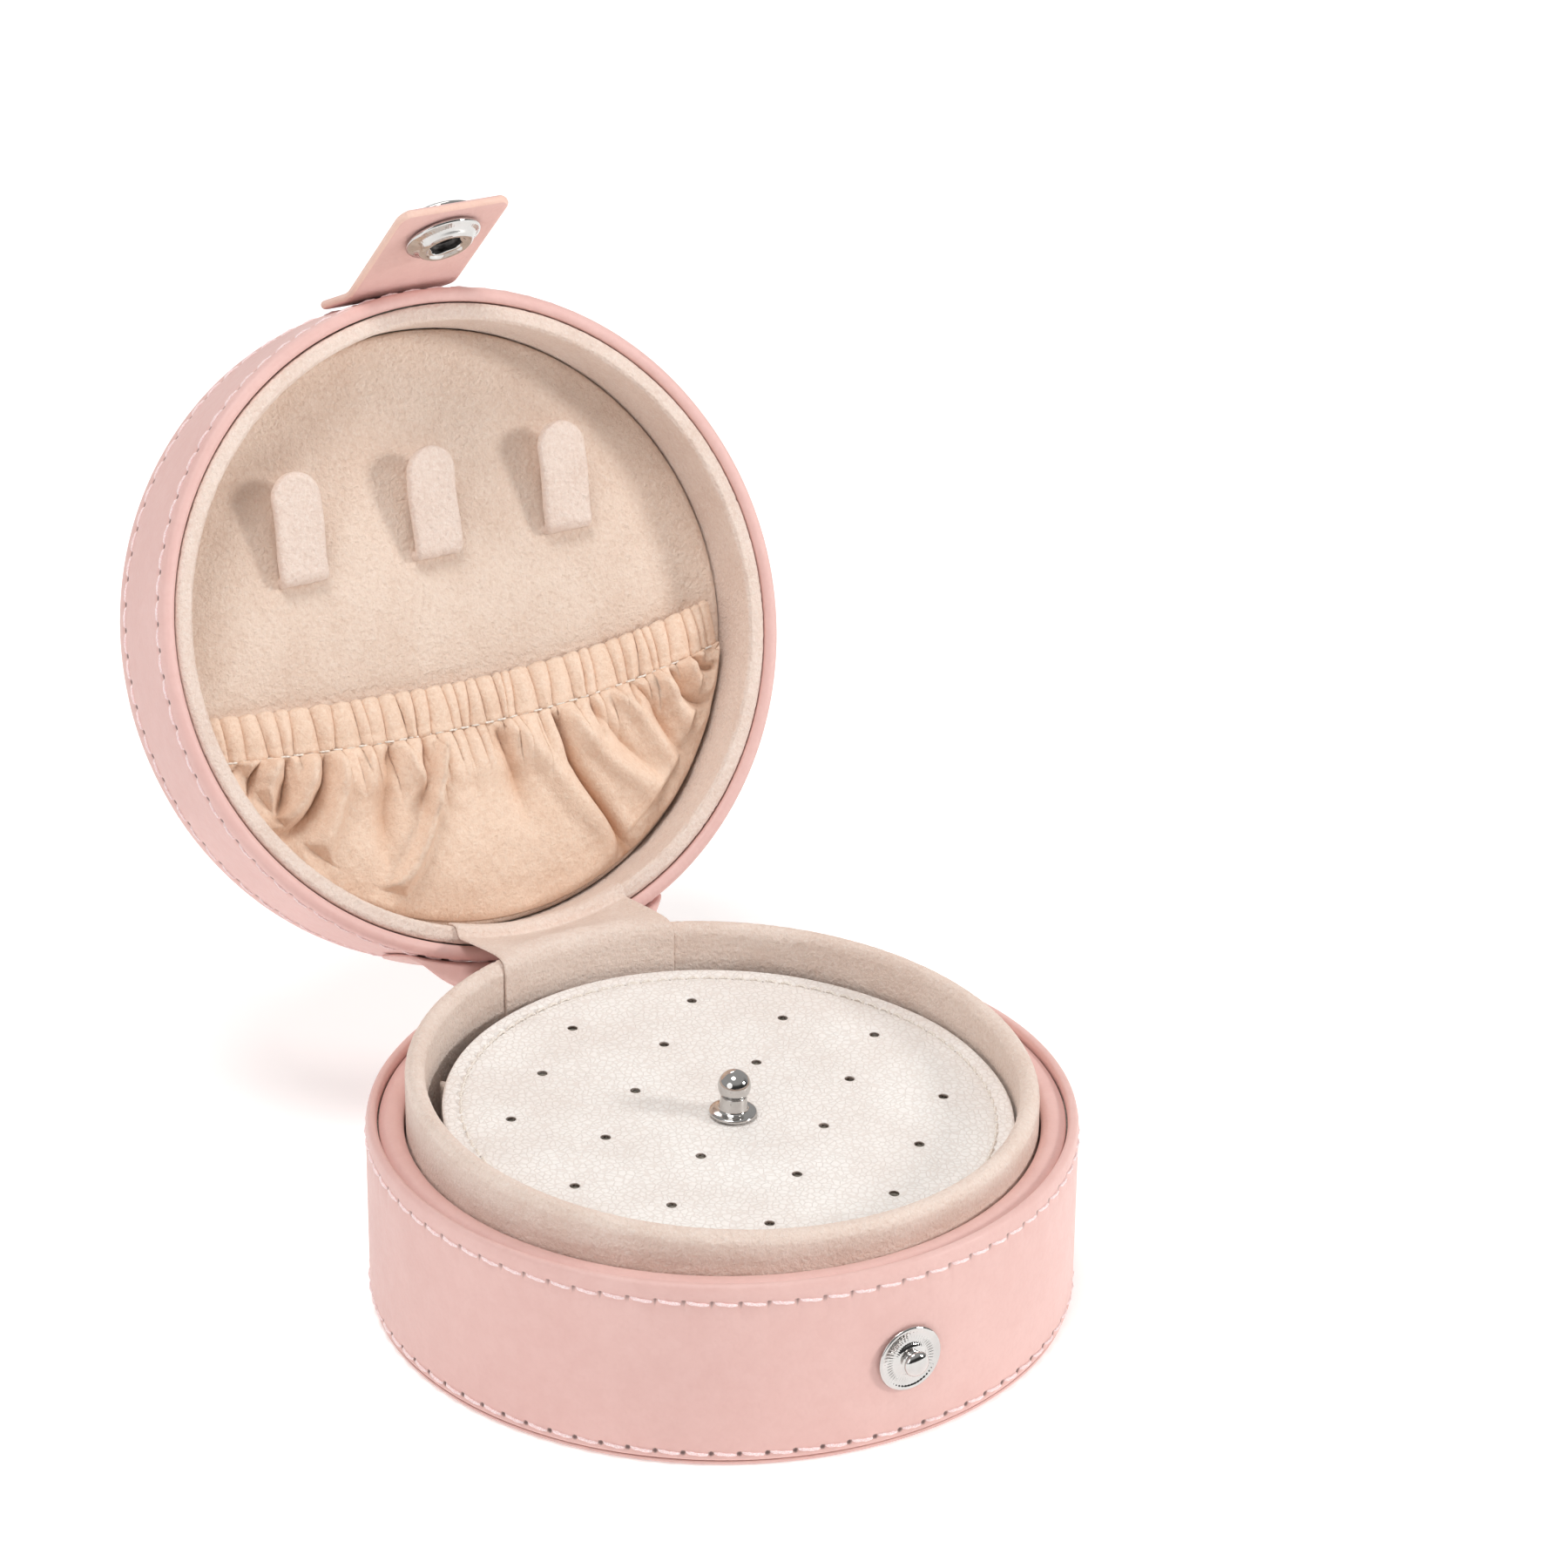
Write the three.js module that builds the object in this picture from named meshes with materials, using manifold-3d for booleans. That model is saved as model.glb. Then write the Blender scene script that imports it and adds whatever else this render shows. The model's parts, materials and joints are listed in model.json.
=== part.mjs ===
// A round travel jewelry case, open: a stitched leatherette base with a raised velvet collar, a lift-out
// earring plate, and a padded lid with hooks, a gathered pocket and a snap strap, on a soft hinge.
// Millimetres, +Z up. The origin is the centre of the underside and the front faces -Y.
// Lid parts are drawn in the closed position, in a group that is turned open about the hinge line.
import * as THREE from "three";
import { mergeVertices } from "three/addons/utils/BufferGeometryUtils.js";
import Module from "manifold-3d";

const wasm = await Module();
wasm.setup();

// Driving dimensions
const OUTER_R = 50;
const BASE_H = 27.8;
const SEAM_GAP = 0.4;
const LID_WALL_H = 18.4;
const CROWN_H = 2.6;
const LEATHER = 0.7;
const BOARD = 1.6;
const GLUE = 0.1;
const BASE_LIP_R = 48.4;
const LID_LIP_R = 47.8;
const FLOOR_Z = 2.6;
const COLLAR_OUT_R = 44.4;
const COLLAR_IN_R = 41.6;
const COLLAR_TOP_Z = 33.5;
const PLATE_R = 40.2;
const INSERT_TILT = [2.5, 1.2];
const PLATE_TOP_Z = 27.4;
const PLATE_T = 2.6;
const PLATE_SHIFT = [0.7, -0.6];
const HOLE_PITCH = 13.8;
const HOLE_R = 0.75;
const HOLE_TURN = -46.3;
const KNOB_H = 6.8;
const KNOB_SHIFT = [-0.5, -1.9];
const RING_IN_R = 45;
const PANEL_Z = 38;
const HINGE_Y = 51;
const HINGE_Z = 27.8;
const LID_ANGLE = 114.4;
const STRAP_W = 18;
const STRAP_T = 1.3;
const STRAP_TOP_Z = 43.5;
const STRAP_BEND_Z = 31.2;
const STRAP_FLAP_L = 26.2;
const STRAP_ANGLE = 19.6;
const RIVET_Z = 36.7;
const SNAP_S = 18.4;
const STUD_Z = 13.2;
const HOOK_W = 7.8;
const HOOK_PITCH = 22;
const HOOK_SHIFT = -0.5;
const STRIP_HALF_W = 14;
const DIVIDER_T = 2;
const DIVIDER_TURN = -42;
const SEGMENTS = 32;
const SMALL_SEGMENTS = 16;

const LID_RIM_Z = BASE_H + SEAM_GAP;
const LID_TOP_Z = LID_RIM_Z + LID_WALL_H;
const WALL_BOARD_OUT_R = OUTER_R - LEATHER - GLUE;
const WALL_BOARD_IN_R = WALL_BOARD_OUT_R - BOARD;
const SLEEVE_OUT_R = WALL_BOARD_IN_R - 0.2;
const [TILT_X, TILT_Y] = INSERT_TILT.map(THREE.MathUtils.degToRad);

const LOOKS = {
  leather: { color: 0xe2b5ad, roughness: 0.5, metalness: 0 },
  velvet: { color: 0xe9d6c6, roughness: 0.95, metalness: 0 },
  pocket: { color: 0xf2dcc6, roughness: 0.95, metalness: 0 },
  cream: { color: 0xf3eee8, roughness: 0.6, metalness: 0 },
  board: { color: 0xa39a8d, roughness: 0.9, metalness: 0 },
  foam: { color: 0xf2efe6, roughness: 1, metalness: 0 },
  elastic: { color: 0xf4ece0, roughness: 0.9, metalness: 0 },
  metal: { color: 0xd6d6d8, roughness: 0.15, metalness: 1 },
};

// A named mesh with a material of its own.
function piece(name, look, geometry) {
  const made = new THREE.Mesh(geometry, new THREE.MeshStandardMaterial(LOOKS[look]));
  made.name = name;
  return made;
}

// A lathe about the Y axis of [radius, height] points, which end on the axis or are closed here.
function lathe(profile, segments) {
  const points = profile.map(([r, h]) => new THREE.Vector2(r, h));
  const endsOnAxis = profile[0][0] === 0 && profile.at(-1)[0] === 0;
  if (!endsOnAxis) points.push(points[0].clone());
  if (THREE.ShapeUtils.area(points) < 0) points.reverse();
  return new THREE.LatheGeometry(points, segments);
}

// A body of revolution about +Z.
function turned(profile, segments = SEGMENTS) {
  return lathe(profile, segments).rotateX(Math.PI / 2);
}

// A body of revolution whose axis points out of the front, -Y, from the plane y, at height z.
function turnedForward(profile, y, z) {
  return lathe(profile, SMALL_SEGMENTS).rotateX(Math.PI).translate(0, y, z);
}

// A plain cylinder along Y.
function pinAlongY(radius, yFrom, yTo, z) {
  const pin = new THREE.CylinderGeometry(radius, radius, Math.abs(yTo - yFrom), SMALL_SEGMENTS);
  return pin.translate(0, (yFrom + yTo) / 2, z);
}

// A manifold-3d solid of a closed geometry, and back.
function solidOf(geometry) {
  const bare = geometry.clone();
  bare.deleteAttribute("normal");
  bare.deleteAttribute("uv");
  const merged = mergeVertices(bare, 1e-4);
  const vertProperties = merged.attributes.position.array;
  const triVerts = new Uint32Array(merged.index.array);
  return new wasm.Manifold(new wasm.Mesh({ numProp: 3, vertProperties, triVerts }));
}

function geometryOf(solid) {
  const mesh = solid.getMesh();
  const position = new THREE.BufferAttribute(new Float32Array(mesh.vertProperties), 3);
  const geometry = new THREE.BufferGeometry().setAttribute("position", position);
  geometry.setIndex(new THREE.BufferAttribute(mesh.triVerts, 1));
  return geometry;
}

function cut(geometry, ...tools) {
  return geometryOf(tools.reduce((solid, tool) => solid.subtract(solidOf(tool)), solidOf(geometry)));
}

// A closed solid between two grids of points, front and back, rows by columns.
function sheetSolid(front, back) {
  const rows = front.length;
  const cols = front[0].length;
  const index = [];
  const at = (side, i, j) => side * rows * cols + i * cols + j;
  const quad = (a, b, c, d) => index.push(a, b, c, a, c, d);
  for (let i = 0; i < rows - 1; i++) {
    for (let j = 0; j < cols - 1; j++) {
      quad(at(0, i, j), at(0, i, j + 1), at(0, i + 1, j + 1), at(0, i + 1, j));
      quad(at(1, i, j), at(1, i + 1, j), at(1, i + 1, j + 1), at(1, i, j + 1));
    }
    quad(at(0, i, 0), at(0, i + 1, 0), at(1, i + 1, 0), at(1, i, 0));
    quad(at(0, i, cols - 1), at(1, i, cols - 1), at(1, i + 1, cols - 1), at(0, i + 1, cols - 1));
  }
  for (let j = 0; j < cols - 1; j++) {
    quad(at(0, 0, j), at(1, 0, j), at(1, 0, j + 1), at(0, 0, j + 1));
    quad(at(0, rows - 1, j), at(0, rows - 1, j + 1), at(1, rows - 1, j + 1), at(1, rows - 1, j));
  }
  const points = [...front.flat(), ...back.flat()];
  const geometry = new THREE.BufferGeometry().setFromPoints(points);
  geometry.setIndex(signedVolume(points, index) < 0 ? index.reverse() : index);
  return geometry;
}

function signedVolume(points, index) {
  let sum = 0;
  for (let k = 0; k < index.length; k += 3) {
    const [a, b, c] = [points[index[k]], points[index[k + 1]], points[index[k + 2]]];
    sum += a.dot(new THREE.Vector3().crossVectors(b, c));
  }
  return sum;
}

// Numbers from a to b in equal steps.
function steps(a, b, count) {
  return Array.from({ length: count + 1 }, (_, i) => a + ((b - a) * i) / count);
}

// Where a point (y, z) of the closed lid lies with the lid open.
function opened(y, z) {
  const turn = THREE.MathUtils.degToRad(-LID_ANGLE);
  const [dy, dz] = [y - HINGE_Y, z - HINGE_Z];
  return [
    HINGE_Y + dy * Math.cos(turn) - dz * Math.sin(turn),
    HINGE_Z + dy * Math.sin(turn) + dz * Math.cos(turn),
  ];
}

// Base

// Height of the tilted insert's plane above its middle. It rises towards the hinge and to the left.
function rise(x, y) {
  return y * Math.tan(TILT_X) - x * Math.tan(TILT_Y);
}

// Tilts the upper end of a piece by moving every corner above the given height.
function tiltedAbove(geometry, height) {
  const points = geometry.attributes.position;
  for (let i = 0; i < points.count; i++) {
    const z = points.getZ(i);
    if (z > height) points.setZ(i, z + rise(points.getX(i), points.getY(i)));
  }
  return geometry;
}

function baseShell() {
  const skinIn = OUTER_R - LEATHER;
  const lipZ = BASE_H;
  const foldZ = BASE_H - 2.2;
  const skin = turned([
    [skinIn, 0.8],
    [OUTER_R - 0.3, 0.8],
    [OUTER_R, 1.3],
    [OUTER_R, lipZ - 1.1],
    [OUTER_R - 0.3, lipZ - 0.3],
    [OUTER_R - 0.8, lipZ],
    [BASE_LIP_R + 0.2, lipZ - 0.2],
    [BASE_LIP_R, lipZ - 0.8],
    [BASE_LIP_R, foldZ],
    [skinIn, foldZ],
  ]);
  const board = turned([
    [WALL_BOARD_IN_R, FLOOR_Z],
    [WALL_BOARD_OUT_R, FLOOR_Z],
    [WALL_BOARD_OUT_R, foldZ - GLUE],
    [WALL_BOARD_IN_R, foldZ - GLUE],
  ]);
  const sleeve = turned([
    [SLEEVE_OUT_R - 2.1, FLOOR_Z],
    [SLEEVE_OUT_R, FLOOR_Z],
    [SLEEVE_OUT_R, BASE_H - 1.6],
    [SLEEVE_OUT_R - 2.1, BASE_H - 1.6],
  ]);
  const postHole = pinAlongY(1.5, -OUTER_R - 2, -WALL_BOARD_IN_R + 2, STUD_Z);
  const rivetRecess = pinAlongY(3.4, -WALL_BOARD_IN_R + 1, -WALL_BOARD_IN_R - 0.8, STUD_Z);
  return [
    piece("base_wall_leather", "leather", cut(skin, postHole)),
    piece("base_wall_board", "board", cut(board, postHole, rivetRecess)),
    piece("base_sleeve_board", "board", sleeve),
  ];
}

function baseBottom() {
  return [
    piece("base_bottom_leather", "leather", turned([
      [0, 0],
      [OUTER_R - 0.6, 0],
      [OUTER_R - 0.3, 0.3],
      [OUTER_R - 0.3, 0.7],
      [0, 0.7],
    ])),
    piece("base_bottom_board", "board", turned([
      [0, 0.8],
      [WALL_BOARD_OUT_R, 0.8],
      [WALL_BOARD_OUT_R, FLOOR_Z - GLUE],
      [0, FLOOR_Z - GLUE],
    ])),
  ];
}

// The ledge between the rim and the collar, which the lid's ring rests over.
function ledge() {
  const innerR = COLLAR_OUT_R + 0.25;
  const outerR = BASE_LIP_R - 0.2;
  const top = BASE_H - 0.7;
  return piece("base_ledge_leather", "leather", turned([
    [innerR, top - 7],
    [innerR, top - 0.9],
    [innerR + 1.4, top - 0.1],
    [outerR - 1.3, top],
    [outerR, top - 0.7],
    [outerR, BASE_H - 2],
    [SLEEVE_OUT_R + 0.1, BASE_H - 2],
    [SLEEVE_OUT_R + 0.1, BASE_H - 1.5],
    [SLEEVE_OUT_R - 2.2, BASE_H - 1.5],
    [SLEEVE_OUT_R - 2.2, top - 7],
  ]));
}

function collar() {
  const skin = 0.5;
  const boardOut = COLLAR_OUT_R - skin - GLUE;
  const boardIn = COLLAR_IN_R + skin + GLUE;
  const boardTop = COLLAR_TOP_Z - skin - 0.3;
  const covered = 6.5;
  return [
    piece("collar_board", "board", tiltedAbove(turned([
      [boardIn, FLOOR_Z],
      [boardOut, FLOOR_Z],
      [boardOut, boardTop],
      [boardIn, boardTop],
    ]), BASE_H)),
    piece("collar_velvet", "velvet", tiltedAbove(turned([
      [COLLAR_OUT_R, BASE_H - covered],
      [COLLAR_OUT_R, COLLAR_TOP_Z - 1.2],
      [COLLAR_OUT_R - 0.5, COLLAR_TOP_Z - 0.3],
      [(COLLAR_OUT_R + COLLAR_IN_R) / 2, COLLAR_TOP_Z],
      [COLLAR_IN_R + 0.5, COLLAR_TOP_Z - 0.3],
      [COLLAR_IN_R, COLLAR_TOP_Z - 1.2],
      [COLLAR_IN_R, FLOOR_Z + 0.2],
      [COLLAR_IN_R + skin, FLOOR_Z + 0.2],
      [COLLAR_IN_R + skin, boardTop + GLUE],
      [COLLAR_OUT_R - skin, boardTop + GLUE],
      [COLLAR_OUT_R - skin, BASE_H - covered],
    ]), BASE_H)),
  ];
}

function floorPad() {
  return piece("floor_pad", "velvet", turned([
    [0, FLOOR_Z],
    [COLLAR_IN_R - 0.4, FLOOR_Z],
    [COLLAR_IN_R - 0.4, FLOOR_Z + 1.1],
    [COLLAR_IN_R - 1, FLOOR_Z + 1.5],
    [0, FLOOR_Z + 1.5],
  ]));
}

// Velvet walls that carry the plate: one across, and one from its middle at a right angle.
function dividers() {
  const bottom = FLOOR_Z + 1.6;
  const height = PLATE_TOP_Z - PLATE_T - 0.25 - bottom;
  const reach = COLLAR_IN_R - 0.6;
  const gap = DIVIDER_T / 2 + 0.2;
  const shortLength = reach - gap;
  const wall = (name, width, depth, y) => {
    const box = new THREE.BoxGeometry(width, depth, height).translate(0, y, bottom + height / 2);
    return piece(name, "velvet", tiltedAbove(box.rotateZ(THREE.MathUtils.degToRad(DIVIDER_TURN)), bottom + 1));
  };
  return [
    wall("divider_long", 2 * reach, DIVIDER_T, 0),
    wall("divider_short", DIVIDER_T, shortLength, -gap - shortLength / 2),
  ];
}

// Male half of the snap on the base's front wall, and the rivet ring behind the board.
function snapStud() {
  const stud = turnedForward([
    [0, -2.2],
    [1.1, -2.2],
    [1.1, 0],
    [4.5, 0],
    [4.8, 0.25],
    [4.3, 0.5],
    [1.9, 0.45],
    [1.25, 0.8],
    [1.25, 1.2],
    [1.75, 1.7],
    [1.9, 2.3],
    [1.4, 2.85],
    [0, 3],
  ], -OUTER_R - 0.1, STUD_Z);
  const ring = turnedForward([
    [1.25, 0],
    [3, 0],
    [3, 0.4],
    [1.25, 0.4],
  ], -WALL_BOARD_IN_R - 0.15, STUD_Z);
  return [piece("snap_stud", "metal", stud), piece("snap_stud_rivet", "metal", ring)];
}

// Velvet strip from the inside of the collar, over its top and across to the ring of the open lid.
function innerHingeStrip() {
  const thick = 0.5;
  const columns = steps(-STRIP_HALF_W, STRIP_HALF_W, 6);
  const onCircle = (r, x) => Math.sqrt(r * r - x * x);
  const outline = (x, off) => {
    const inCollar = onCircle(COLLAR_IN_R - 0.3 - off, x);
    const overMid = onCircle((COLLAR_IN_R + COLLAR_OUT_R) / 2, x);
    const outCollar = onCircle(COLLAR_OUT_R + 0.2 + off, x);
    const ringOut = onCircle(LID_LIP_R - 0.3 + off * 0.6, x);
    const ringIn = onCircle(RING_IN_R - 0.35 - off, x);
    const face = LID_RIM_Z - 0.25 - off;
    const span = opened(ringOut, face);
    const top = COLLAR_TOP_Z + rise(x, overMid);
    return [
      [inCollar, 20],
      [inCollar, top - 0.8],
      [inCollar + 0.5, top - 0.1 + off],
      [overMid, top + 0.25 + off],
      [outCollar - 0.4, top - 0.1 + off],
      [(outCollar + span[0]) / 2 + off * 0.2, (top - 1 + span[1]) / 2 + 0.3 + off],
      span,
      opened(ringIn, face),
      opened(ringIn, LID_RIM_Z + 2.4),
    ];
  };
  const grid = (off) => {
    const curves = columns.map((x) => outline(x, off).map(([y, z]) => new THREE.Vector3(x, y, z)));
    return curves[0].map((_, i) => curves.map((curve) => curve[i]));
  };
  return piece("hinge_strip_inner", "velvet", sheetSolid(grid(thick), grid(0)));
}

// Leatherette strap over the back seam: narrow on the base, wide on the lid, folded at the hinge line.
function outerHingeStrap() {
  const thick = 0.8;
  const baseHalfW = 14;
  const lidHalfW = 22;
  const r = OUTER_R + 0.15;
  const bisector = [0.54, -0.84];
  const wallY = (x) => Math.sqrt(r * r - x * x);
  const fold = (x, off) => {
    const [lidY, lidZ] = opened(wallY(x), LID_RIM_Z + 1.7);
    const [y, z] = [(wallY(x) + lidY) / 2, (BASE_H - 1.5 + lidZ) / 2];
    return [y + bisector[0] * off, z + bisector[1] * off];
  };
  const rows = [
    [baseHalfW, (x, off) => [wallY(x) + off, BASE_H - 13]],
    [baseHalfW, (x, off) => [wallY(x) + off, BASE_H - 7]],
    [baseHalfW, (x, off) => [wallY(x) + off, BASE_H - 1.5]],
    [baseHalfW, fold],
    [lidHalfW, (x, off) => opened(wallY(x) + off, LID_RIM_Z + 1.7)],
    [lidHalfW, (x, off) => opened(wallY(x) + off, LID_RIM_Z + 6)],
    [lidHalfW, (x, off) => opened(wallY(x) + off, LID_RIM_Z + 11)],
  ];
  const grid = (off) =>
    rows.map(([halfW, place]) => steps(-halfW, halfW, 8).map((x) => new THREE.Vector3(x, ...place(x, off))));
  return piece("hinge_strap_outer", "leather", sheetSolid(grid(thick), grid(0)));
}

// Plate

// The plate's holes, a 5 by 5 square grid without its corners and its middle.
function holeCentres() {
  const turn = THREE.MathUtils.degToRad(HOLE_TURN);
  const centres = [];
  for (let i = -2; i <= 2; i++) {
    for (let j = -2; j <= 2; j++) {
      const corner = Math.abs(i) === 2 && Math.abs(j) === 2;
      if (corner || (i === 0 && j === 0)) continue;
      const point = new THREE.Vector2(i * HOLE_PITCH, j * HOLE_PITCH);
      centres.push(point.rotateAround(new THREE.Vector2(0, 0), turn));
    }
  }
  return centres;
}

// One layer of the plate, with its holes and the knob's hole. The plate's top is at height 0.
function plateLayer(radius, middleR, bottom, top) {
  const ring = (centre, r, sides) =>
    steps(0, 2 * Math.PI, sides).slice(1).map((a) => {
      return new THREE.Vector2(centre.x + r * Math.cos(a), centre.y + r * Math.sin(a));
    });
  const shape = new THREE.Shape(ring({ x: 0, y: 0 }, radius, SEGMENTS));
  const holes = holeCentres().map((centre) => ring(centre, HOLE_R, 6));
  const middle = ring({ x: KNOB_SHIFT[0], y: KNOB_SHIFT[1] }, middleR, 12);
  shape.holes = [middle, ...holes].map((points) => new THREE.Path(points));
  const geometry = new THREE.ExtrudeGeometry(shape, { depth: top - bottom, bevelEnabled: false });
  return geometry.translate(0, 0, bottom);
}

function knob() {
  const foot = 0.1;
  return piece("knob", "metal", turned([
    [0, foot],
    [3.2, foot],
    [3.4, foot + 0.4],
    [3.2, foot + 0.8],
    [2.1, foot + 1],
    [1.9, foot + 2.4],
    [1.55, foot + 2.7],
    [2.2, foot + 3.4],
    [2.4, foot + KNOB_H - 2.4],
    [2.05, foot + KNOB_H - 1.1],
    [1.1, foot + KNOB_H - 0.25],
    [0, foot + KNOB_H],
  ], SMALL_SEGMENTS).translate(...KNOB_SHIFT, 0));
}

function plate() {
  const group = new THREE.Group();
  group.position.set(...PLATE_SHIFT, PLATE_TOP_Z);
  group.rotation.set(TILT_X, TILT_Y, 0);
  const screw = turned([
    [0, 0.1 - PLATE_T],
    [2.8, 0.1 - PLATE_T],
    [2.8, 0.6 - PLATE_T],
    [1.1, 0.6 - PLATE_T],
    [1.1, 0],
    [0, 0],
  ], SMALL_SEGMENTS);
  group.add(
    piece("plate_leather", "cream", plateLayer(PLATE_R, 1.5, -0.7, 0)),
    piece("plate_board", "board", plateLayer(PLATE_R - 0.5, 1.5, 0.7 - PLATE_T, -0.8)),
    piece("plate_backing", "velvet", plateLayer(PLATE_R - 0.3, 3.2, -PLATE_T, 0.6 - PLATE_T)),
    knob(),
    piece("knob_screw", "metal", screw.translate(...KNOB_SHIFT, 0)),
  );
  return group;
}

// Lid, drawn closed

function lidShell() {
  const skinIn = OUTER_R - LEATHER;
  const foldZ = LID_RIM_Z + 2.8;
  const skin = turned([
    [OUTER_R, LID_RIM_Z + 1.1],
    [OUTER_R, LID_TOP_Z - 1],
    [OUTER_R - 0.4, LID_TOP_Z - 0.2],
    [OUTER_R - 1, LID_TOP_Z],
    [BASE_LIP_R, LID_TOP_Z - 0.3],
    [BASE_LIP_R, LID_TOP_Z - 1.2],
    [skinIn, LID_TOP_Z - 1.2],
    [skinIn, foldZ],
    [LID_LIP_R, foldZ],
    [LID_LIP_R, LID_RIM_Z + 0.6],
    [LID_LIP_R + 0.5, LID_RIM_Z + 0.1],
    [OUTER_R - 1, LID_RIM_Z],
    [OUTER_R - 0.4, LID_RIM_Z + 0.3],
  ]);
  const board = turned([
    [WALL_BOARD_IN_R, foldZ + GLUE],
    [WALL_BOARD_OUT_R, foldZ + GLUE],
    [WALL_BOARD_OUT_R, LID_TOP_Z - 1.3],
    [WALL_BOARD_IN_R, LID_TOP_Z - 1.3],
  ]);
  const postHole = pinAlongY(1.7, -OUTER_R - 2, -WALL_BOARD_IN_R + 2, RIVET_Z);
  const recess = pinAlongY(3.4, -WALL_BOARD_IN_R + 1, -WALL_BOARD_IN_R - 0.8, RIVET_Z);
  return [
    piece("lid_wall_leather", "leather", cut(skin, postHole)),
    piece("lid_wall_board", "board", cut(board, postHole, recess)),
  ];
}

// The padded top: a crowned skin over foam on a board.
function lidTop() {
  const edgeR = BASE_LIP_R - 0.2;
  const boardR = WALL_BOARD_IN_R - 0.2;
  const rise = LID_TOP_Z + CROWN_H;
  const dome = (top, edge) => (share) => [edge * share, top - 3.4 * share ** 4];
  const shares = [0, 0.35, 0.6, 0.78, 0.9, 0.97, 1];
  const outer = shares.map(dome(rise, edgeR));
  const inner = shares.slice(0, -1).map(dome(rise - 0.8, edgeR)).reverse();
  const foam = shares.slice(0, -1).map(dome(rise - 1, boardR));
  const boardTop = LID_TOP_Z - 1.6;
  return [
    piece("lid_top_leather", "leather", turned([...outer, [edgeR, LID_TOP_Z - 1], ...inner])),
    piece("lid_top_foam", "foam", turned([...foam, [boardR, boardTop + 0.1], [0, boardTop + 0.1]])),
    piece("lid_top_board", "board", turned([
      [0, boardTop - BOARD],
      [boardR, boardTop - BOARD],
      [boardR, boardTop],
      [0, boardTop],
    ])),
  ];
}

function lidLiner() {
  const ringOut = WALL_BOARD_IN_R - 0.2;
  const coreR = RING_IN_R + 0.4;
  const boardBottom = LID_TOP_Z - 1.6 - BOARD - GLUE;
  const ringBoardIn = RING_IN_R + 0.6;
  return [
    piece("lid_ring_board", "board", turned([
      [ringBoardIn, LID_RIM_Z + 0.9],
      [ringOut, LID_RIM_Z + 0.9],
      [ringOut, boardBottom],
      [ringBoardIn, boardBottom],
    ])),
    piece("lid_ring_velvet", "velvet", turned([
      [RING_IN_R, PANEL_Z + 1.9],
      [RING_IN_R, LID_RIM_Z + 0.7],
      [RING_IN_R + 0.5, LID_RIM_Z + 0.2],
      [LID_LIP_R - 0.7, LID_RIM_Z + 0.2],
      [LID_LIP_R - 0.2, LID_RIM_Z + 0.7],
      [LID_LIP_R - 0.2, LID_RIM_Z + 2.7],
      [ringOut + 0.08, LID_RIM_Z + 2.7],
      [ringOut + 0.08, LID_RIM_Z + 0.8],
      [ringBoardIn - 0.1, LID_RIM_Z + 0.8],
      [ringBoardIn - 0.1, PANEL_Z + 1.9],
    ])),
    piece("lid_panel_velvet", "velvet", turned([
      [0, PANEL_Z],
      [RING_IN_R - 1, PANEL_Z],
      [RING_IN_R - 0.5, PANEL_Z + 0.5],
      [RING_IN_R - 0.5, PANEL_Z + 1.9],
      [RING_IN_R - 0.9, PANEL_Z + 1.9],
      [RING_IN_R - 0.9, PANEL_Z + 0.6],
      [0, PANEL_Z + 0.6],
    ])),
    piece("lid_panel_board", "board", turned([
      [0, PANEL_Z + 0.7],
      [RING_IN_R - 1, PANEL_Z + 0.7],
      [RING_IN_R - 1, PANEL_Z + 2.2],
      [0, PANEL_Z + 2.2],
    ])),
    piece("lid_core_foam", "foam", turned([
      [0, PANEL_Z + 2.3],
      [coreR, PANEL_Z + 2.3],
      [coreR, boardBottom],
      [0, boardBottom],
    ])),
  ];
}

// A velvet hook: it leaves the panel at its root, bends, and rises away from it to a round free end.
function hook(name, x) {
  const rootY = -10.9;
  const length = 16.3;
  const tipR = HOOK_W / 2;
  const bend = [
    { under: [1.3, 0.25], over: [0, 0.25] },
    { under: [1.5, 0.9], over: [0.1, 1.4] },
    { under: [2.1, 1.3], over: [0.9, 2.3] },
  ];
  const arm = steps(3.6, length, 6).map((d) => {
    const off = 1.5 + (3 * (d - 3.6)) / (length - 3.6);
    return { under: [d, off], over: [d, off + 1.2] };
  });
  const halfWidth = (d) => {
    const past = Math.max(0, d - length + tipR) / tipR;
    return tipR * Math.sqrt(Math.max(0.06, 1 - past * past));
  };
  const side = (key) =>
    [...bend, ...arm].map((row) => {
      const [d, off] = row[key];
      const half = halfWidth(d);
      return steps(-half, half, 2).map((dx) => new THREE.Vector3(x + dx, rootY - d, PANEL_Z - off));
    });
  return piece(name, "velvet", sheetSolid(side("over"), side("under")));
}

// The pocket's mouth sags towards the hinge between its ends.
function mouthY(x) {
  const share = x / 42.5;
  return 8.6 - 3.4 * share ** 2 - 0.9 * share ** 3;
}

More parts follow.
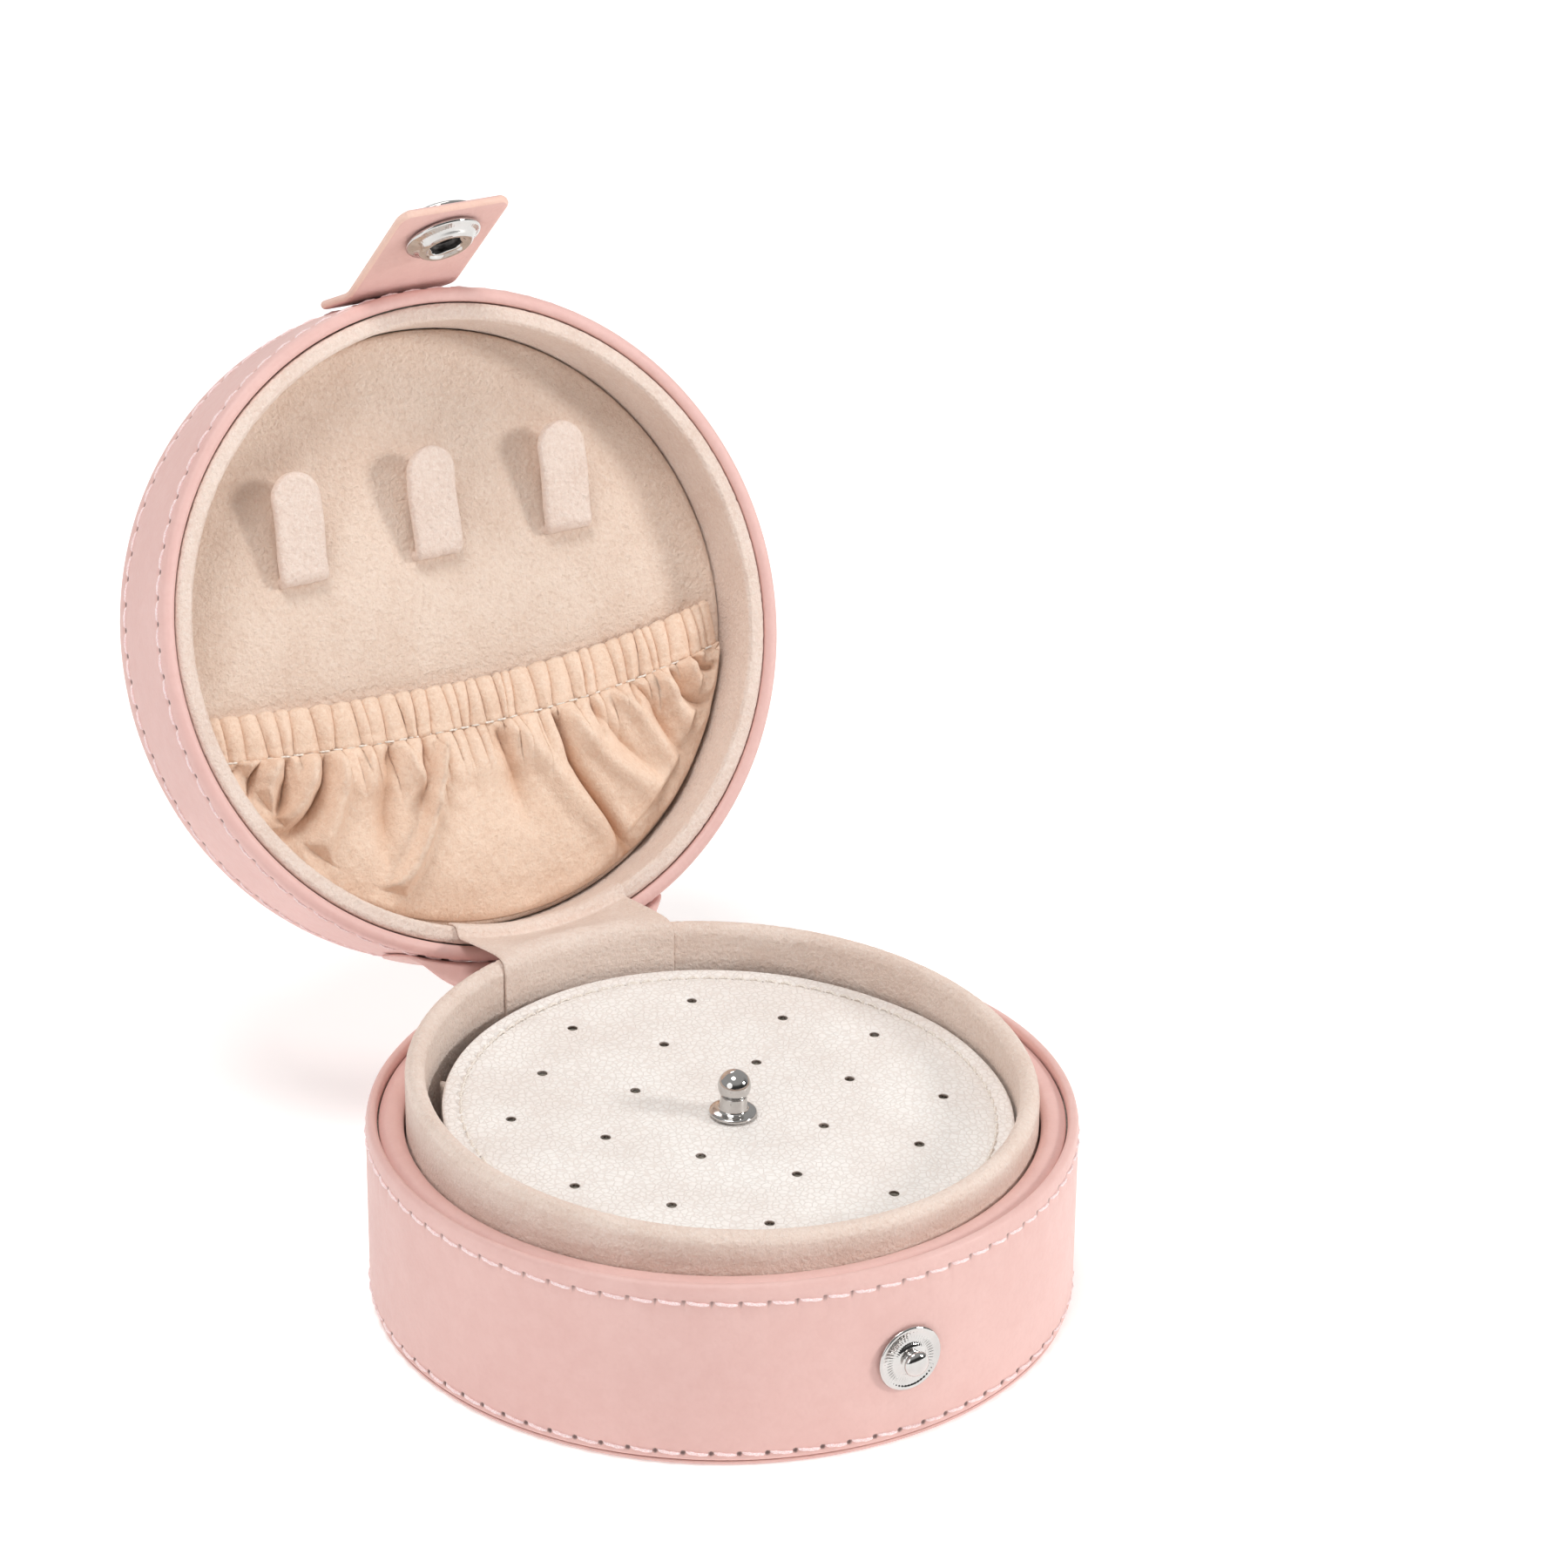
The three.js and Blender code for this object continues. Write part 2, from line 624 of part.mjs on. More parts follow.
// The pocket's hem, a flat tube with open ends, and the elastic band that lies in it.
function pocketHem() {
  const height = 6.3;
  const halfSpan = 42.3;
  const lift = (x) => 0.3 + 1.2 * Math.max(0, 1 - (x / halfSpan) ** 2);
  const band = (reach, near, far, low, high) => {
    const row = (y, z) =>
      steps(-reach, reach, 14).map((x) => new THREE.Vector3(x, mouthY(x) + y, PANEL_Z - lift(x) - z));
    return sheetSolid([row(near, high), row(far, high)], [row(near, low), row(far, low)]);
  };
  const tunnel = band(halfSpan + 0.5, 0.4, height - 0.6, 0.25, 0.95);
  return [
    piece("pocket_hem", "pocket", cut(band(halfSpan, 0, height, 0, 1.2), tunnel)),
    piece("pocket_elastic", "elastic", band(halfSpan - 0.6, 0.9, height - 1.1, 0.4, 0.8)),
  ];
}

// The pocket's cloth from the hem to the edge of the panel, bulging a little off the panel.
function pocketCloth() {
  const thick = 0.7;
  const edgeR = RING_IN_R - 0.9;
  const us = steps(-1, 1, 14);
  const vs = steps(0, 1, 5);
  const span = 41.2;
  const grid = (extra) =>
    vs.map((v) =>
      us.map((u) => {
        const x = span * u;
        const top = mouthY(x) + 6.5;
        const bottom = Math.max(Math.sqrt(edgeR * edgeR - x * x), top + 0.6);
        const bulge = 0.35 + 3 * Math.sin(Math.PI * (0.22 + 0.78 * v)) * (1 - u * u) ** 0.8;
        return new THREE.Vector3(x, top + (bottom - top) * v, PANEL_Z - bulge - extra);
      }),
    );
  return piece("pocket", "pocket", sheetSolid(grid(thick), grid(0)));
}

// A strap blank with rounded corners at its free end, drawn in XY, with a round hole, and extruded.
function strapBlank(length, holeAt, holeR, cornerR) {
  const half = STRAP_W / 2;
  const shape = new THREE.Shape();
  shape.moveTo(-half, 0);
  shape.lineTo(half, 0);
  shape.lineTo(half, length - cornerR);
  shape.absarc(half - cornerR, length - cornerR, cornerR, 0, Math.PI / 2);
  shape.lineTo(cornerR - half, length);
  shape.absarc(cornerR - half, length - cornerR, cornerR, Math.PI / 2, Math.PI);
  shape.holes.push(new THREE.Path().absarc(0, holeAt, holeR, 0, 2 * Math.PI, true));
  return new THREE.ExtrudeGeometry(shape, { depth: STRAP_T, bevelEnabled: false, curveSegments: 5 });
}

function strapRoot() {
  const bottom = STRAP_BEND_Z + STRAP_T / 2 + 0.1;
  const blank = strapBlank(STRAP_TOP_Z - bottom, RIVET_Z - bottom, 1.7, 2.5).rotateX(Math.PI / 2);
  const front = -OUTER_R - 0.3;
  const cap = turnedForward([
    [0, -2.9 - STRAP_T],
    [1.3, -2.9 - STRAP_T],
    [1.3, 0],
    [4.7, 0],
    [5, 0.3],
    [4.7, 0.9],
    [3.4, 1.5],
    [1.7, 1.8],
    [0, 1.9],
  ], front - STRAP_T - 0.3, RIVET_Z);
  const washer = turnedForward([
    [1.65, 0],
    [3, 0],
    [3, 0.3],
    [1.65, 0.3],
  ], -WALL_BOARD_IN_R - 0.2, RIVET_Z);
  return [
    piece("strap_root", "leather", blank.translate(0, front, bottom)),
    piece("rivet_cap", "metal", cap),
    piece("rivet_washer", "metal", washer),
  ];
}

// The strap's free end, in a group at its bend, turned out from the wall. Its own -Z runs down the strap.
function strapFlap() {
  const blank = strapBlank(STRAP_FLAP_L, SNAP_S, 1.9, 2.5).rotateX(-Math.PI / 2);
  const cap = turnedForward([
    [0, -0.9],
    [1.5, -0.9],
    [1.5, 0],
    [5.8, 0],
    [6.2, 0.4],
    [5.9, 1],
    [4.5, 1.8],
    [2.3, 2.25],
    [0, 2.4],
  ], -STRAP_T / 2 - 0.3, -SNAP_S);
  const socket = turnedForward([
    [0, -0.6],
    [2.45, -0.6],
    [2.45, -2.1],
    [3, -2.3],
    [4.5, -2.3],
    [4.9, -1.8],
    [4.9, -0.4],
    [4.4, 0],
    [0, 0],
  ], STRAP_T / 2 + 0.3, -SNAP_S);
  const group = new THREE.Group();
  group.position.set(0, -OUTER_R - 0.3 - STRAP_T / 2, STRAP_BEND_Z);
  group.rotation.x = THREE.MathUtils.degToRad(-STRAP_ANGLE);
  group.add(
    piece("strap_flap", "leather", blank.translate(0, -STRAP_T / 2, 0)),
    piece("snap_cap", "metal", cap),
    piece("snap_socket", "metal", socket),
  );
  return group;
}

function lid() {
  const closed = new THREE.Group();
  closed.position.set(0, -HINGE_Y, -HINGE_Z);
  closed.add(...lidShell(), ...lidTop(), ...lidLiner());
  ["hook_left", "hook_middle", "hook_right"].forEach((name, i) => {
    closed.add(hook(name, HOOK_SHIFT + (i - 1) * HOOK_PITCH));
  });
  closed.add(pocketCloth(), ...pocketHem(), ...strapRoot(), strapFlap());
  const hinged = new THREE.Group();
  hinged.position.set(0, HINGE_Y, HINGE_Z);
  hinged.rotation.x = THREE.MathUtils.degToRad(-LID_ANGLE);
  hinged.add(closed);
  return hinged;
}

const group = new THREE.Group();
group.add(...baseShell(), ...baseBottom(), ledge(), ...collar(), floorPad(), ...dividers());
group.add(...snapStud(), innerHingeStrip(), outerHingeStrap(), plate(), lid());

export default group;
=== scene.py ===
"""Looks of the round travel jewelry case. Lengths are in millimetres until a mesh is made."""
import json
import math

import bmesh
import bpy
import numpy as np
from mathutils import Matrix, Vector, geometry


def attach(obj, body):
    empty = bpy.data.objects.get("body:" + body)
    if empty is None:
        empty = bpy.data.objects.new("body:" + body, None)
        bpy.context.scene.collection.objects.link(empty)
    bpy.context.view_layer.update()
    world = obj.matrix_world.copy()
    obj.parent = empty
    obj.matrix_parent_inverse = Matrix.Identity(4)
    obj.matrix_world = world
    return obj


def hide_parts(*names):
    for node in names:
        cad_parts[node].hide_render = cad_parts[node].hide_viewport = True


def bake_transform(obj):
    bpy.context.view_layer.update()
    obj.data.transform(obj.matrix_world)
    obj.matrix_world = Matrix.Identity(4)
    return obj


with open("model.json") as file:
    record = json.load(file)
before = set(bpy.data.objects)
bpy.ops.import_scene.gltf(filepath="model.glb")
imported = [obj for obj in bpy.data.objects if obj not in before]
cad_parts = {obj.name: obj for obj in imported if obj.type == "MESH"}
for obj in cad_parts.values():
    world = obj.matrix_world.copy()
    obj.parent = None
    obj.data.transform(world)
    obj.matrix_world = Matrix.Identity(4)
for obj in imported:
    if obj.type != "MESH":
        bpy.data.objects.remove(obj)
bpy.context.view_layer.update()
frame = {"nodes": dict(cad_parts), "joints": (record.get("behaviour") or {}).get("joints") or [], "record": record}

MM = 0.001
JOINTS = {j["name"]: j for j in frame["joints"]}
HINGE = np.array(JOINTS["lid_hinge"]["pos_m"]) / MM
LID_ANGLE = math.radians(-JOINTS["lid_hinge"]["range_deg"][0])
SLOTS = {part["node"]: part["material_slot"] for part in frame["record"]["subparts"]}


def tipped(points, angle):
    """Points, (..., 3), turned about the X axis."""
    c, s = math.cos(angle), math.sin(angle)
    points = np.asarray(points, float)
    out = points.copy()
    out[..., 1] = points[..., 1] * c - points[..., 2] * s
    out[..., 2] = points[..., 1] * s + points[..., 2] * c
    return out


def opened(points):
    """Points of the closed lid where they lie with the lid open."""
    return tipped(np.asarray(points) - HINGE, -LID_ANGLE) + HINGE


def shut(points):
    """The reverse of opened."""
    return tipped(np.asarray(points) - HINGE, LID_ANGLE) + HINGE


def span(node, lid=False):
    """(lowest, highest) corner of a CAD node in mm, for a lid node with the lid shut."""
    co = np.array([v.co for v in frame["nodes"][node].data.vertices]) / MM
    co = shut(co) if lid else co
    return co.min(0), co.max(0)


OUTER_R = span("base_wall_leather")[1][0]
BASE_RIM_Z = span("base_wall_leather")[1][2]
LEDGE_Z = span("base_ledge_leather")[1][2]
COLLAR_R = span("collar_velvet")[1][0]
FLOOR_TOP = span("floor_pad")[1][2]
COLLAR_Z = 33.5
TILT_X, TILT_Y = math.radians(2.5), math.radians(1.2)
PLATE_C = np.array([0.7, -0.6, 27.4])
KNOB_SHIFT = np.array([-0.5, -1.9])
PLATE_R = 40.2
PLATE_T = 2.6
HOLE_PITCH, HOLE_TURN = 13.8, math.radians(-46.3)
DIVIDER_TURN = math.radians(-42)
LID_LO, LID_HI = span("lid_wall_leather", lid=True)
LID_RIM_Z, LID_EDGE_Z = LID_LO[2], LID_HI[2]
LID_TOP_Z = span("lid_top_leather", lid=True)[1][2]
PANEL_Z = span("lid_panel_velvet", lid=True)[0][2]
PANEL_R = span("lid_panel_velvet", lid=True)[1][0]
RING_OUT_R = span("lid_ring_velvet", lid=True)[1][0]
STUD_Z = (span("snap_stud")[0][2] + span("snap_stud")[1][2]) / 2
STRAP_LO, STRAP_HI = span("strap_root", lid=True)
COLLAR_IN_R = COLLAR_R - 2.8
RING_IN_R = PANEL_R + 0.5
LIP_R = OUTER_R - 1.6
STRIP_HALF_W = span("hinge_strip_inner")[1][0]


def rise(x, y):
    """Height of the tilted insert's plane above its middle, as in the CAD model."""
    return np.asarray(y) * math.tan(TILT_X) - np.asarray(x) * math.tan(TILT_Y)


def on_plate(points):
    """Points drawn with the plate's top at height 0, where the tilted plate holds them."""
    turn = np.array(Matrix.Rotation(TILT_X, 3, "X") @ Matrix.Rotation(TILT_Y, 3, "Y"))
    return np.asarray(points) @ turn.T + PLATE_C


# Materials

def colour(r, g, b):
    """An sRGB colour from 0 to 255 as linear RGBA."""
    shares = [c / 255 for c in (r, g, b)]
    return (*[c / 12.92 if c <= 0.04045 else ((c + 0.055) / 1.055) ** 2.4 for c in shares], 1.0)


class Nodes:
    """A node tree under construction: nodes are added by kind, with inputs that are values or sockets."""

    def __init__(self, owner):
        owner.use_nodes = True
        self.tree = owner.node_tree

    def put(self, node, socket, value):
        target = node.inputs[socket]
        if isinstance(value, bpy.types.NodeSocket):
            self.tree.links.new(value, target)
        else:
            target.default_value = value

    def add(self, kind, inputs, output=0, **settings):
        node = self.tree.nodes.new("ShaderNode" + kind)
        for key, value in settings.items():
            setattr(node, key, value)
        for socket, value in inputs.items():
            self.put(node, socket, value)
        return node.outputs[output]

    def ramp(self, value, low, high, to_low=0.0, to_high=1.0):
        return self.add("MapRange", {
            "Value": value, "From Min": low, "From Max": high, "To Min": to_low, "To Max": to_high,
        }, interpolation_type="SMOOTHSTEP")

    def math(self, operation, a, b):
        return self.add("Math", {0: a, 1: b}, operation=operation)


class Look(Nodes):
    """A material with one shader, whose patterns lie in object coordinates."""

    def __init__(self, name):
        self.material = bpy.data.materials.new(name)
        super().__init__(self.material)
        self.tree.nodes.clear()
        out = self.tree.nodes.new("ShaderNodeOutputMaterial")
        self.shader = self.tree.nodes.new("ShaderNodeBsdfPrincipled")
        self.tree.links.new(self.shader.outputs[0], out.inputs[0])
        self.coords = self.tree.nodes.new("ShaderNodeTexCoord").outputs["Object"]

    def noise(self, size_mm, detail=3.0, roughness=0.55, distortion=0.0, vector=None):
        return self.add("TexNoise", {
            "Vector": vector or self.coords, "Scale": 1 / (size_mm * MM), "Detail": detail,
            "Roughness": roughness, "Distortion": distortion,
        })

    def cells(self, size_mm, feature="F1", vector=None):
        return self.add("TexVoronoi", {"Vector": vector or self.coords, "Scale": 1 / (size_mm * MM)},
                        feature=feature)

    def warped(self, size_mm, amount_mm):
        """Coordinates pushed about by noise, so that cells are uneven."""
        push = self.add("TexNoise", {"Vector": self.coords, "Scale": 1 / (size_mm * MM), "Detail": 2.0}, 1)
        offset = self.add("VectorMath", {0: push, 1: (0.5, 0.5, 0.5)}, operation="SUBTRACT")
        scaled = self.add("VectorMath", {0: offset, "Scale": amount_mm * MM}, operation="SCALE")
        return self.add("VectorMath", {0: self.coords, 1: scaled}, operation="ADD")

    def mix(self, factor, a, b, blend="MIX"):
        node = self.tree.nodes.new("ShaderNodeMix")
        node.data_type = "RGBA"
        node.blend_type = blend
        for socket, value in ((0, factor), (6, a), (7, b)):
            self.put(node, socket, value)
        return node.outputs[2]

    def attribute(self, name):
        return self.add("Attribute", {}, 2, attribute_name=name)

    def bump(self, height, depth_mm, strength=1.0, normal=None):
        inputs = {"Height": height, "Distance": depth_mm * MM, "Strength": strength}
        if normal:
            inputs["Normal"] = normal
        return self.add("Bump", inputs)

    def finish(self, **inputs):
        for socket, value in inputs.items():
            self.put(self.shader, socket.replace("_", " "), value)
        return self.material


def leather(name, mid, shade, light, grain_mm=0.62, depth_mm=0.035, rough=0.46):
    """Coated leatherette: fine uneven grain, broad tone changes, painted shade in the grain's creases, and painted
    shade in the needle holes that the mesh marks.
    """
    look = Look(name)
    warp = look.warped(1.6, 0.5)
    grain = look.ramp(look.cells(grain_mm, "SMOOTH_F1", warp), 0.1, 0.75)
    fine = look.noise(0.22, 2.0)
    broad = look.noise(16, 3.0, 0.5)
    pores = look.ramp(look.cells(0.9, "F1", warp), 0.0, 0.14)
    tone = look.mix(look.ramp(broad, 0.3, 0.7, 0.55, 1.0), shade, mid)
    tone = look.mix(look.ramp(look.noise(2.2, 3.0), 0.35, 0.75, 0.0, 0.16), tone, light)
    # darker where the grain sinks: painted shade in its creases
    tone = look.mix(look.ramp(grain, 0.55, 1.0, 0.0, 0.16), tone, shade)
    # painted shade: needle holes darkened towards a near-black of the shade colour
    dent = look.attribute("dent")
    dark = tuple(c * 0.16 for c in shade[:3]) + (1.0,)
    tone = look.mix(look.ramp(dent, 0.35, 0.85, 0.0, 0.92), tone, dark)
    height = look.math("SUBTRACT", look.math("MULTIPLY", fine, 0.3), look.math("MULTIPLY", grain, 0.8))
    height = look.math("ADD", height, look.math("MULTIPLY", pores, 0.5))
    normal = look.bump(height, depth_mm, 0.9)
    normal = look.bump(look.noise(9.0, 2.0), 0.10, 0.35, normal)
    roughness = look.ramp(look.noise(1.1, 3.0), 0.3, 0.7, rough - 0.06, rough + 0.08)
    return look.finish(Base_Color=tone, Roughness=roughness, Normal=normal, Specular_IOR_Level=0.42,
                       Sheen_Weight=0.06)


def plate_leather():
    """Cream leatherette with a pebbled grain whose creases are plain to see, darkened with painted shade, as are
    the needle holes and the plate's holes.
    """
    look = Look("plate_leather_look")
    warp = look.warped(1.9, 0.9)
    crease = look.ramp(look.cells(0.95, "DISTANCE_TO_EDGE", warp), 0.0, 0.16)
    pebble = look.ramp(look.cells(0.95, "SMOOTH_F1", warp), 0.0, 0.8, 1.0, 0.0)
    broad = look.noise(14, 3.0)
    tone = look.mix(look.ramp(broad, 0.3, 0.7), colour(240, 233, 228), colour(248, 244, 240))
    # painted shade in the grain's creases
    tone = look.mix(look.ramp(crease, 0.0, 1.0, 0.35, 0.0), tone, colour(214, 199, 190))
    # painted shade in needle holes and round the plate's holes
    dent = look.attribute("dent")
    tone = look.mix(look.ramp(dent, 0.3, 0.85, 0.0, 0.85), tone, colour(120, 98, 84))
    height = look.math("ADD", look.math("MULTIPLY", crease, 0.7), look.math("MULTIPLY", pebble, 0.45))
    normal = look.bump(height, 0.075, 0.95)
    normal = look.bump(look.noise(7, 2.0), 0.1, 0.4, normal)
    roughness = look.ramp(look.noise(1.4, 3.0), 0.3, 0.7, 0.44, 0.58)
    return look.finish(Base_Color=tone, Roughness=roughness, Normal=normal, Specular_IOR_Level=0.4)


def velvet(name, mid, shade, light, pile_mm=0.3, mottle_mm=1.1, depth_mm=0.3, dark_pile=0.15):
    """Short-pile velvet: speckled pile, brushed patches, a soft sheen at the edges, and painted shade in fold
    valleys where the mesh marks them.
    """
    look = Look(name)
    pile = look.noise(pile_mm, 4.0, 0.7)
    clump = look.noise(mottle_mm * 0.45, 3.0, 0.6, 0.6)
    speckle = look.noise(mottle_mm * 0.6, 2.0, 0.5, 0.3)
    brushed = look.noise(mottle_mm * 8, 3.0, 0.5, 0.2)
    tone = look.mix(look.ramp(brushed, 0.3, 0.7, 0.78, 1.0), shade, mid)
    tone = look.mix(look.ramp(clump, 0.45, 0.7, 0.0, 0.4), tone, light)
    tone = look.mix(look.ramp(speckle, 0.32, 0.52, dark_pile, 0.0), tone, shade)
    tone = look.mix(look.ramp(pile, 0.3, 0.55, dark_pile, 0.0), tone, shade)
    # painted shade in the pocket's fold valleys and gathers
    crease = look.attribute("crease")
    tone = look.mix(look.ramp(crease, 0.0, 1.0, 0.0, 0.8), tone, shade)
    height = look.math("ADD", look.math("MULTIPLY", pile, 0.6), look.math("MULTIPLY", speckle, 1.1))
    normal = look.bump(height, depth_mm, 0.9)
    return look.finish(Base_Color=tone, Roughness=0.95, Normal=normal, Specular_IOR_Level=0.15,
                       Sheen_Weight=0.35, Sheen_Roughness=0.45, Sheen_Tint=light)


def metal(name, tint, rough=0.07):
    """Polished nickel plate with faint handling marks."""
    look = Look(name)
    smear = look.noise(3.0, 4.0, 0.6)
    scratch = look.add("TexNoise", {"Vector": look.add("Mapping", {
        "Vector": look.coords, "Rotation": (0.3, 0.5, 0.9), "Scale": (1.0, 14.0, 1.0)}),
        "Scale": 900.0, "Detail": 2.0})
    tone = look.mix(look.ramp(smear, 0.35, 0.7, 0.0, 0.35), tint, colour(178, 175, 173))
    roughness = look.ramp(smear, 0.3, 0.75, rough * 0.8, rough * 1.7)
    normal = look.bump(look.ramp(scratch, 0.55, 0.8), 0.004, 0.35)
    return look.finish(Base_Color=tone, Metallic=1.0, Roughness=roughness, Normal=normal)


def thread(name, mid, shade):
    """Spun polyester thread."""
    look = Look(name)
    ply = look.noise(0.18, 3.0)
    tone = look.mix(look.ramp(ply, 0.35, 0.65), shade, mid)
    return look.finish(Base_Color=tone, Roughness=0.6, Normal=look.bump(ply, 0.03, 0.7),
                       Specular_IOR_Level=0.35, Sheen_Weight=0.2)


def board(name):
    """Grey paperboard with fibres."""
    look = Look(name)
    fibre = look.add("TexNoise", {"Vector": look.add("Mapping", {
        "Vector": look.coords, "Scale": (1.0, 3.5, 1.0)}), "Scale": 800.0, "Detail": 5.0})
    tone = look.mix(look.ramp(fibre, 0.3, 0.7), colour(150, 142, 130), colour(190, 182, 170))
    return look.finish(Base_Color=tone, Roughness=0.9, Normal=look.bump(fibre, 0.06, 0.6))


def foam(name):
    """Open-cell foam, darker in its cell pits with painted shade."""
    look = Look(name)
    cell = look.cells(0.6, "F1")
    # darker in the cell pits: painted shade
    tone = look.mix(look.ramp(cell, 0.1, 0.6), colour(222, 216, 200), colour(246, 243, 232))
    return look.finish(Base_Color=tone, Roughness=0.95, Normal=look.bump(cell, 0.2, 0.8))


def woven(name):
    """Flat woven elastic with ribs along its length."""
    look = Look(name)
    ribs = look.add("TexWave", {"Vector": look.coords, "Scale": 300.0, "Distortion": 1.5},
                    bands_direction="Z")
    tone = look.mix(ribs, colour(226, 218, 204), colour(248, 244, 236))
    return look.finish(Base_Color=tone, Roughness=0.85, Normal=look.bump(ribs, 0.1, 0.7))


PINK = leather("pink_leather", colour(229, 188, 181), colour(219, 174, 167), colour(240, 206, 200))
PINK_EDGE = leather("strap_edge", colour(240, 205, 190), colour(228, 184, 168), colour(246, 218, 205),
                    0.4, 0.05, 0.6)
CREAM = plate_leather()
VELVET = velvet("beige_velvet", colour(240, 221, 209), colour(203, 167, 147), colour(249, 238, 230))
PANEL = velvet("panel_velvet", colour(240, 219, 203), colour(200, 160, 134), colour(246, 231, 219),
               0.34, 1.25, 0.4, 0.17)
# its shade colour also serves as the painted shade in the pocket's folds
POCKET = velvet("pocket_cloth", colour(245, 219, 198), colour(202, 154, 120), colour(250, 233, 217),
                0.3, 1.2, 0.2, 0.16)
NICKEL = metal("nickel", colour(206, 204, 202))
# painted shade: near-black nickel for the inside of the snap's cup
CUP_SHADE = metal("nickel_shade", colour(58, 55, 54), 0.4)
THREAD = thread("pink_thread", colour(253, 236, 236), colour(240, 206, 205))
CREAM_THREAD = thread("cream_thread", colour(246, 240, 232), colour(222, 210, 198))
BOARD = board("paperboard")
FOAM = foam("foam_cells")
ELASTIC = woven("woven_elastic")


# Mesh tools

def around(theta, r, z):
    """Points, (..., 3), from an angle about Z, a radius and a height."""
    return np.stack([r * np.cos(theta), r * np.sin(theta), z], -1)


def spun(profile, columns):
    """A profile of (radius, height) repeated round its axis: the grids of angle, radius and height."""
    profile = np.asarray(profile, float)
    theta = np.linspace(0, 2 * math.pi, columns, endpoint=False)
    angle = np.repeat(theta[None], len(profile), 0)
    return angle, np.repeat(profile[:, :1], columns, 1), np.repeat(profile[:, 1:], columns, 1)


def lengths(line):
    """How far along a polyline each of its points is."""
    return np.concatenate([[0], np.cumsum(np.linalg.norm(np.diff(line, axis=0), axis=1))])


def wobble(points, wavelength, seed, waves=18):
    """A smooth random field of about unit size over points, (..., 3)."""
    rng = np.random.default_rng(seed)
    direction = rng.normal(size=(waves, 3))
    direction /= np.linalg.norm(direction, axis=1)[:, None]
    k = direction * (2 * math.pi / wavelength * rng.uniform(0.6, 1.5, (waves, 1)))
    phase = rng.uniform(0, 2 * math.pi, waves)
    return np.sin(np.asarray(points) @ k.T + phase).sum(-1) / math.sqrt(waves / 2)


def smoothstep(t):
    t = np.clip(t, 0, 1)
    return t * t * (3 - 2 * t)


def rounded(points, radius, count=5, loop=False):
    """A polyline with its corners turned into short curves."""
    points = np.asarray(points, float)
    n = len(points)
    out = []
    for i in range(n):
        if not loop and i in (0, n - 1):
            out.append(points[i])
            continue
        before, here, after = points[i - 1], points[i], points[(i + 1) % n]
        back, ahead = before - here, after - here
        cut = min(radius, 0.45 * np.linalg.norm(back), 0.45 * np.linalg.norm(ahead))
        a = here + back / np.linalg.norm(back) * cut
        b = here + ahead / np.linalg.norm(ahead) * cut
        for t in np.linspace(0, 1, count):
            out.append((1 - t) ** 2 * a + 2 * t * (1 - t) * here + t * t * b)
    return np.array(out)


def spaced(points, step, fine=(), loop=False, beyond=0.0):
    """A polyline with no piece longer than step, or, past the radius beyond, than the step of a fine band."""
    points = list(points) + ([points[0]] if loop else [])
    out = [points[0]]
    for a, b in zip(points, points[1:]):
        length = np.linalg.norm(b - a)
        stops = [0.0]
        while stops[-1] < 1:
            radius, height = a + (b - a) * stops[-1]
            sizes = [size for low, high, size in fine if low - 0.3 <= height <= high and radius > beyond]
            size = min(sizes, default=step)
            stops.append(min(1.0, stops[-1] + size / max(length, 1e-9)))
        out += [a + (b - a) * t for t in stops[1:]]
    return np.array(out[:-1] if loop else out)


def piece(name, verts, faces, material, body=None, slot=None, stands_for=(), lid=False, **attributes):
    """A mesh object from points in mm, which are given with the lid shut where they ride on the lid or strap.
    A piece that stands for CAD nodes hides them; the slot argument is not used."""
    verts = np.asarray(verts, float).reshape(-1, 3)
    if lid or body in ("lid", "strap"):
        verts = opened(verts)
    mesh = bpy.data.meshes.new(name)
    mesh.from_pydata((verts * MM).tolist(), [], faces if isinstance(faces, list) else faces.tolist())
    mesh.materials.append(material)
    for key, values in attributes.items():
        made = mesh.attributes.new(key, "FLOAT", "POINT")
        made.data.foreach_set("value", np.asarray(values, np.float32).ravel())
    work = bmesh.new()
    work.from_mesh(mesh)
    bmesh.ops.remove_doubles(work, verts=work.verts, dist=1e-7)
    bmesh.ops.recalc_face_normals(work, faces=work.faces)
    work.to_mesh(mesh)
    work.free()
    mesh.shade_smooth()
    made = bpy.data.objects.new(name, mesh)
    bpy.context.scene.collection.objects.link(made)
    if stands_for:
        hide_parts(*stands_for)
    if body:
        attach(made, body)
    return made


def grid_faces(rows, cols, wrap_rows=False, wrap_cols=False, start=0):
    """The quads of a grid of vertices, closed on itself in either direction or neither."""
    i = np.arange(rows if wrap_rows else rows - 1)[:, None]
    j = np.arange(cols if wrap_cols else cols - 1)[None, :]
    a = i * cols + j
    b = i * cols + (j + 1) % cols
    c = ((i + 1) % rows) * cols + (j + 1) % cols
    d = ((i + 1) % rows) * cols + j
    return (np.stack([a, b, c, d], -1) + start).reshape(-1, 4)


def revolve(name, profile, columns, material, loop=True, change=None, settle=None, **placing):
    """A body of revolution about Z. change(theta, r, z) gives (radial shift, height shift, painted shade in
    dents), and settle(points) moves the whole."""
    angle, r, z = spun(profile, columns)
    dent = np.zeros_like(r)
    if change:
        dr, dz, dent = change(angle, r, z)
        r, z = np.maximum(r + dr * (r > 1e-6), 0), z + dz
    verts = around(angle, r, z)
    if settle:
        verts = settle(verts)
    faces = grid_faces(len(profile), columns, wrap_rows=loop, wrap_cols=True)
    return piece(name, verts, faces, material, dent=np.broadcast_to(dent, r.shape), **placing)


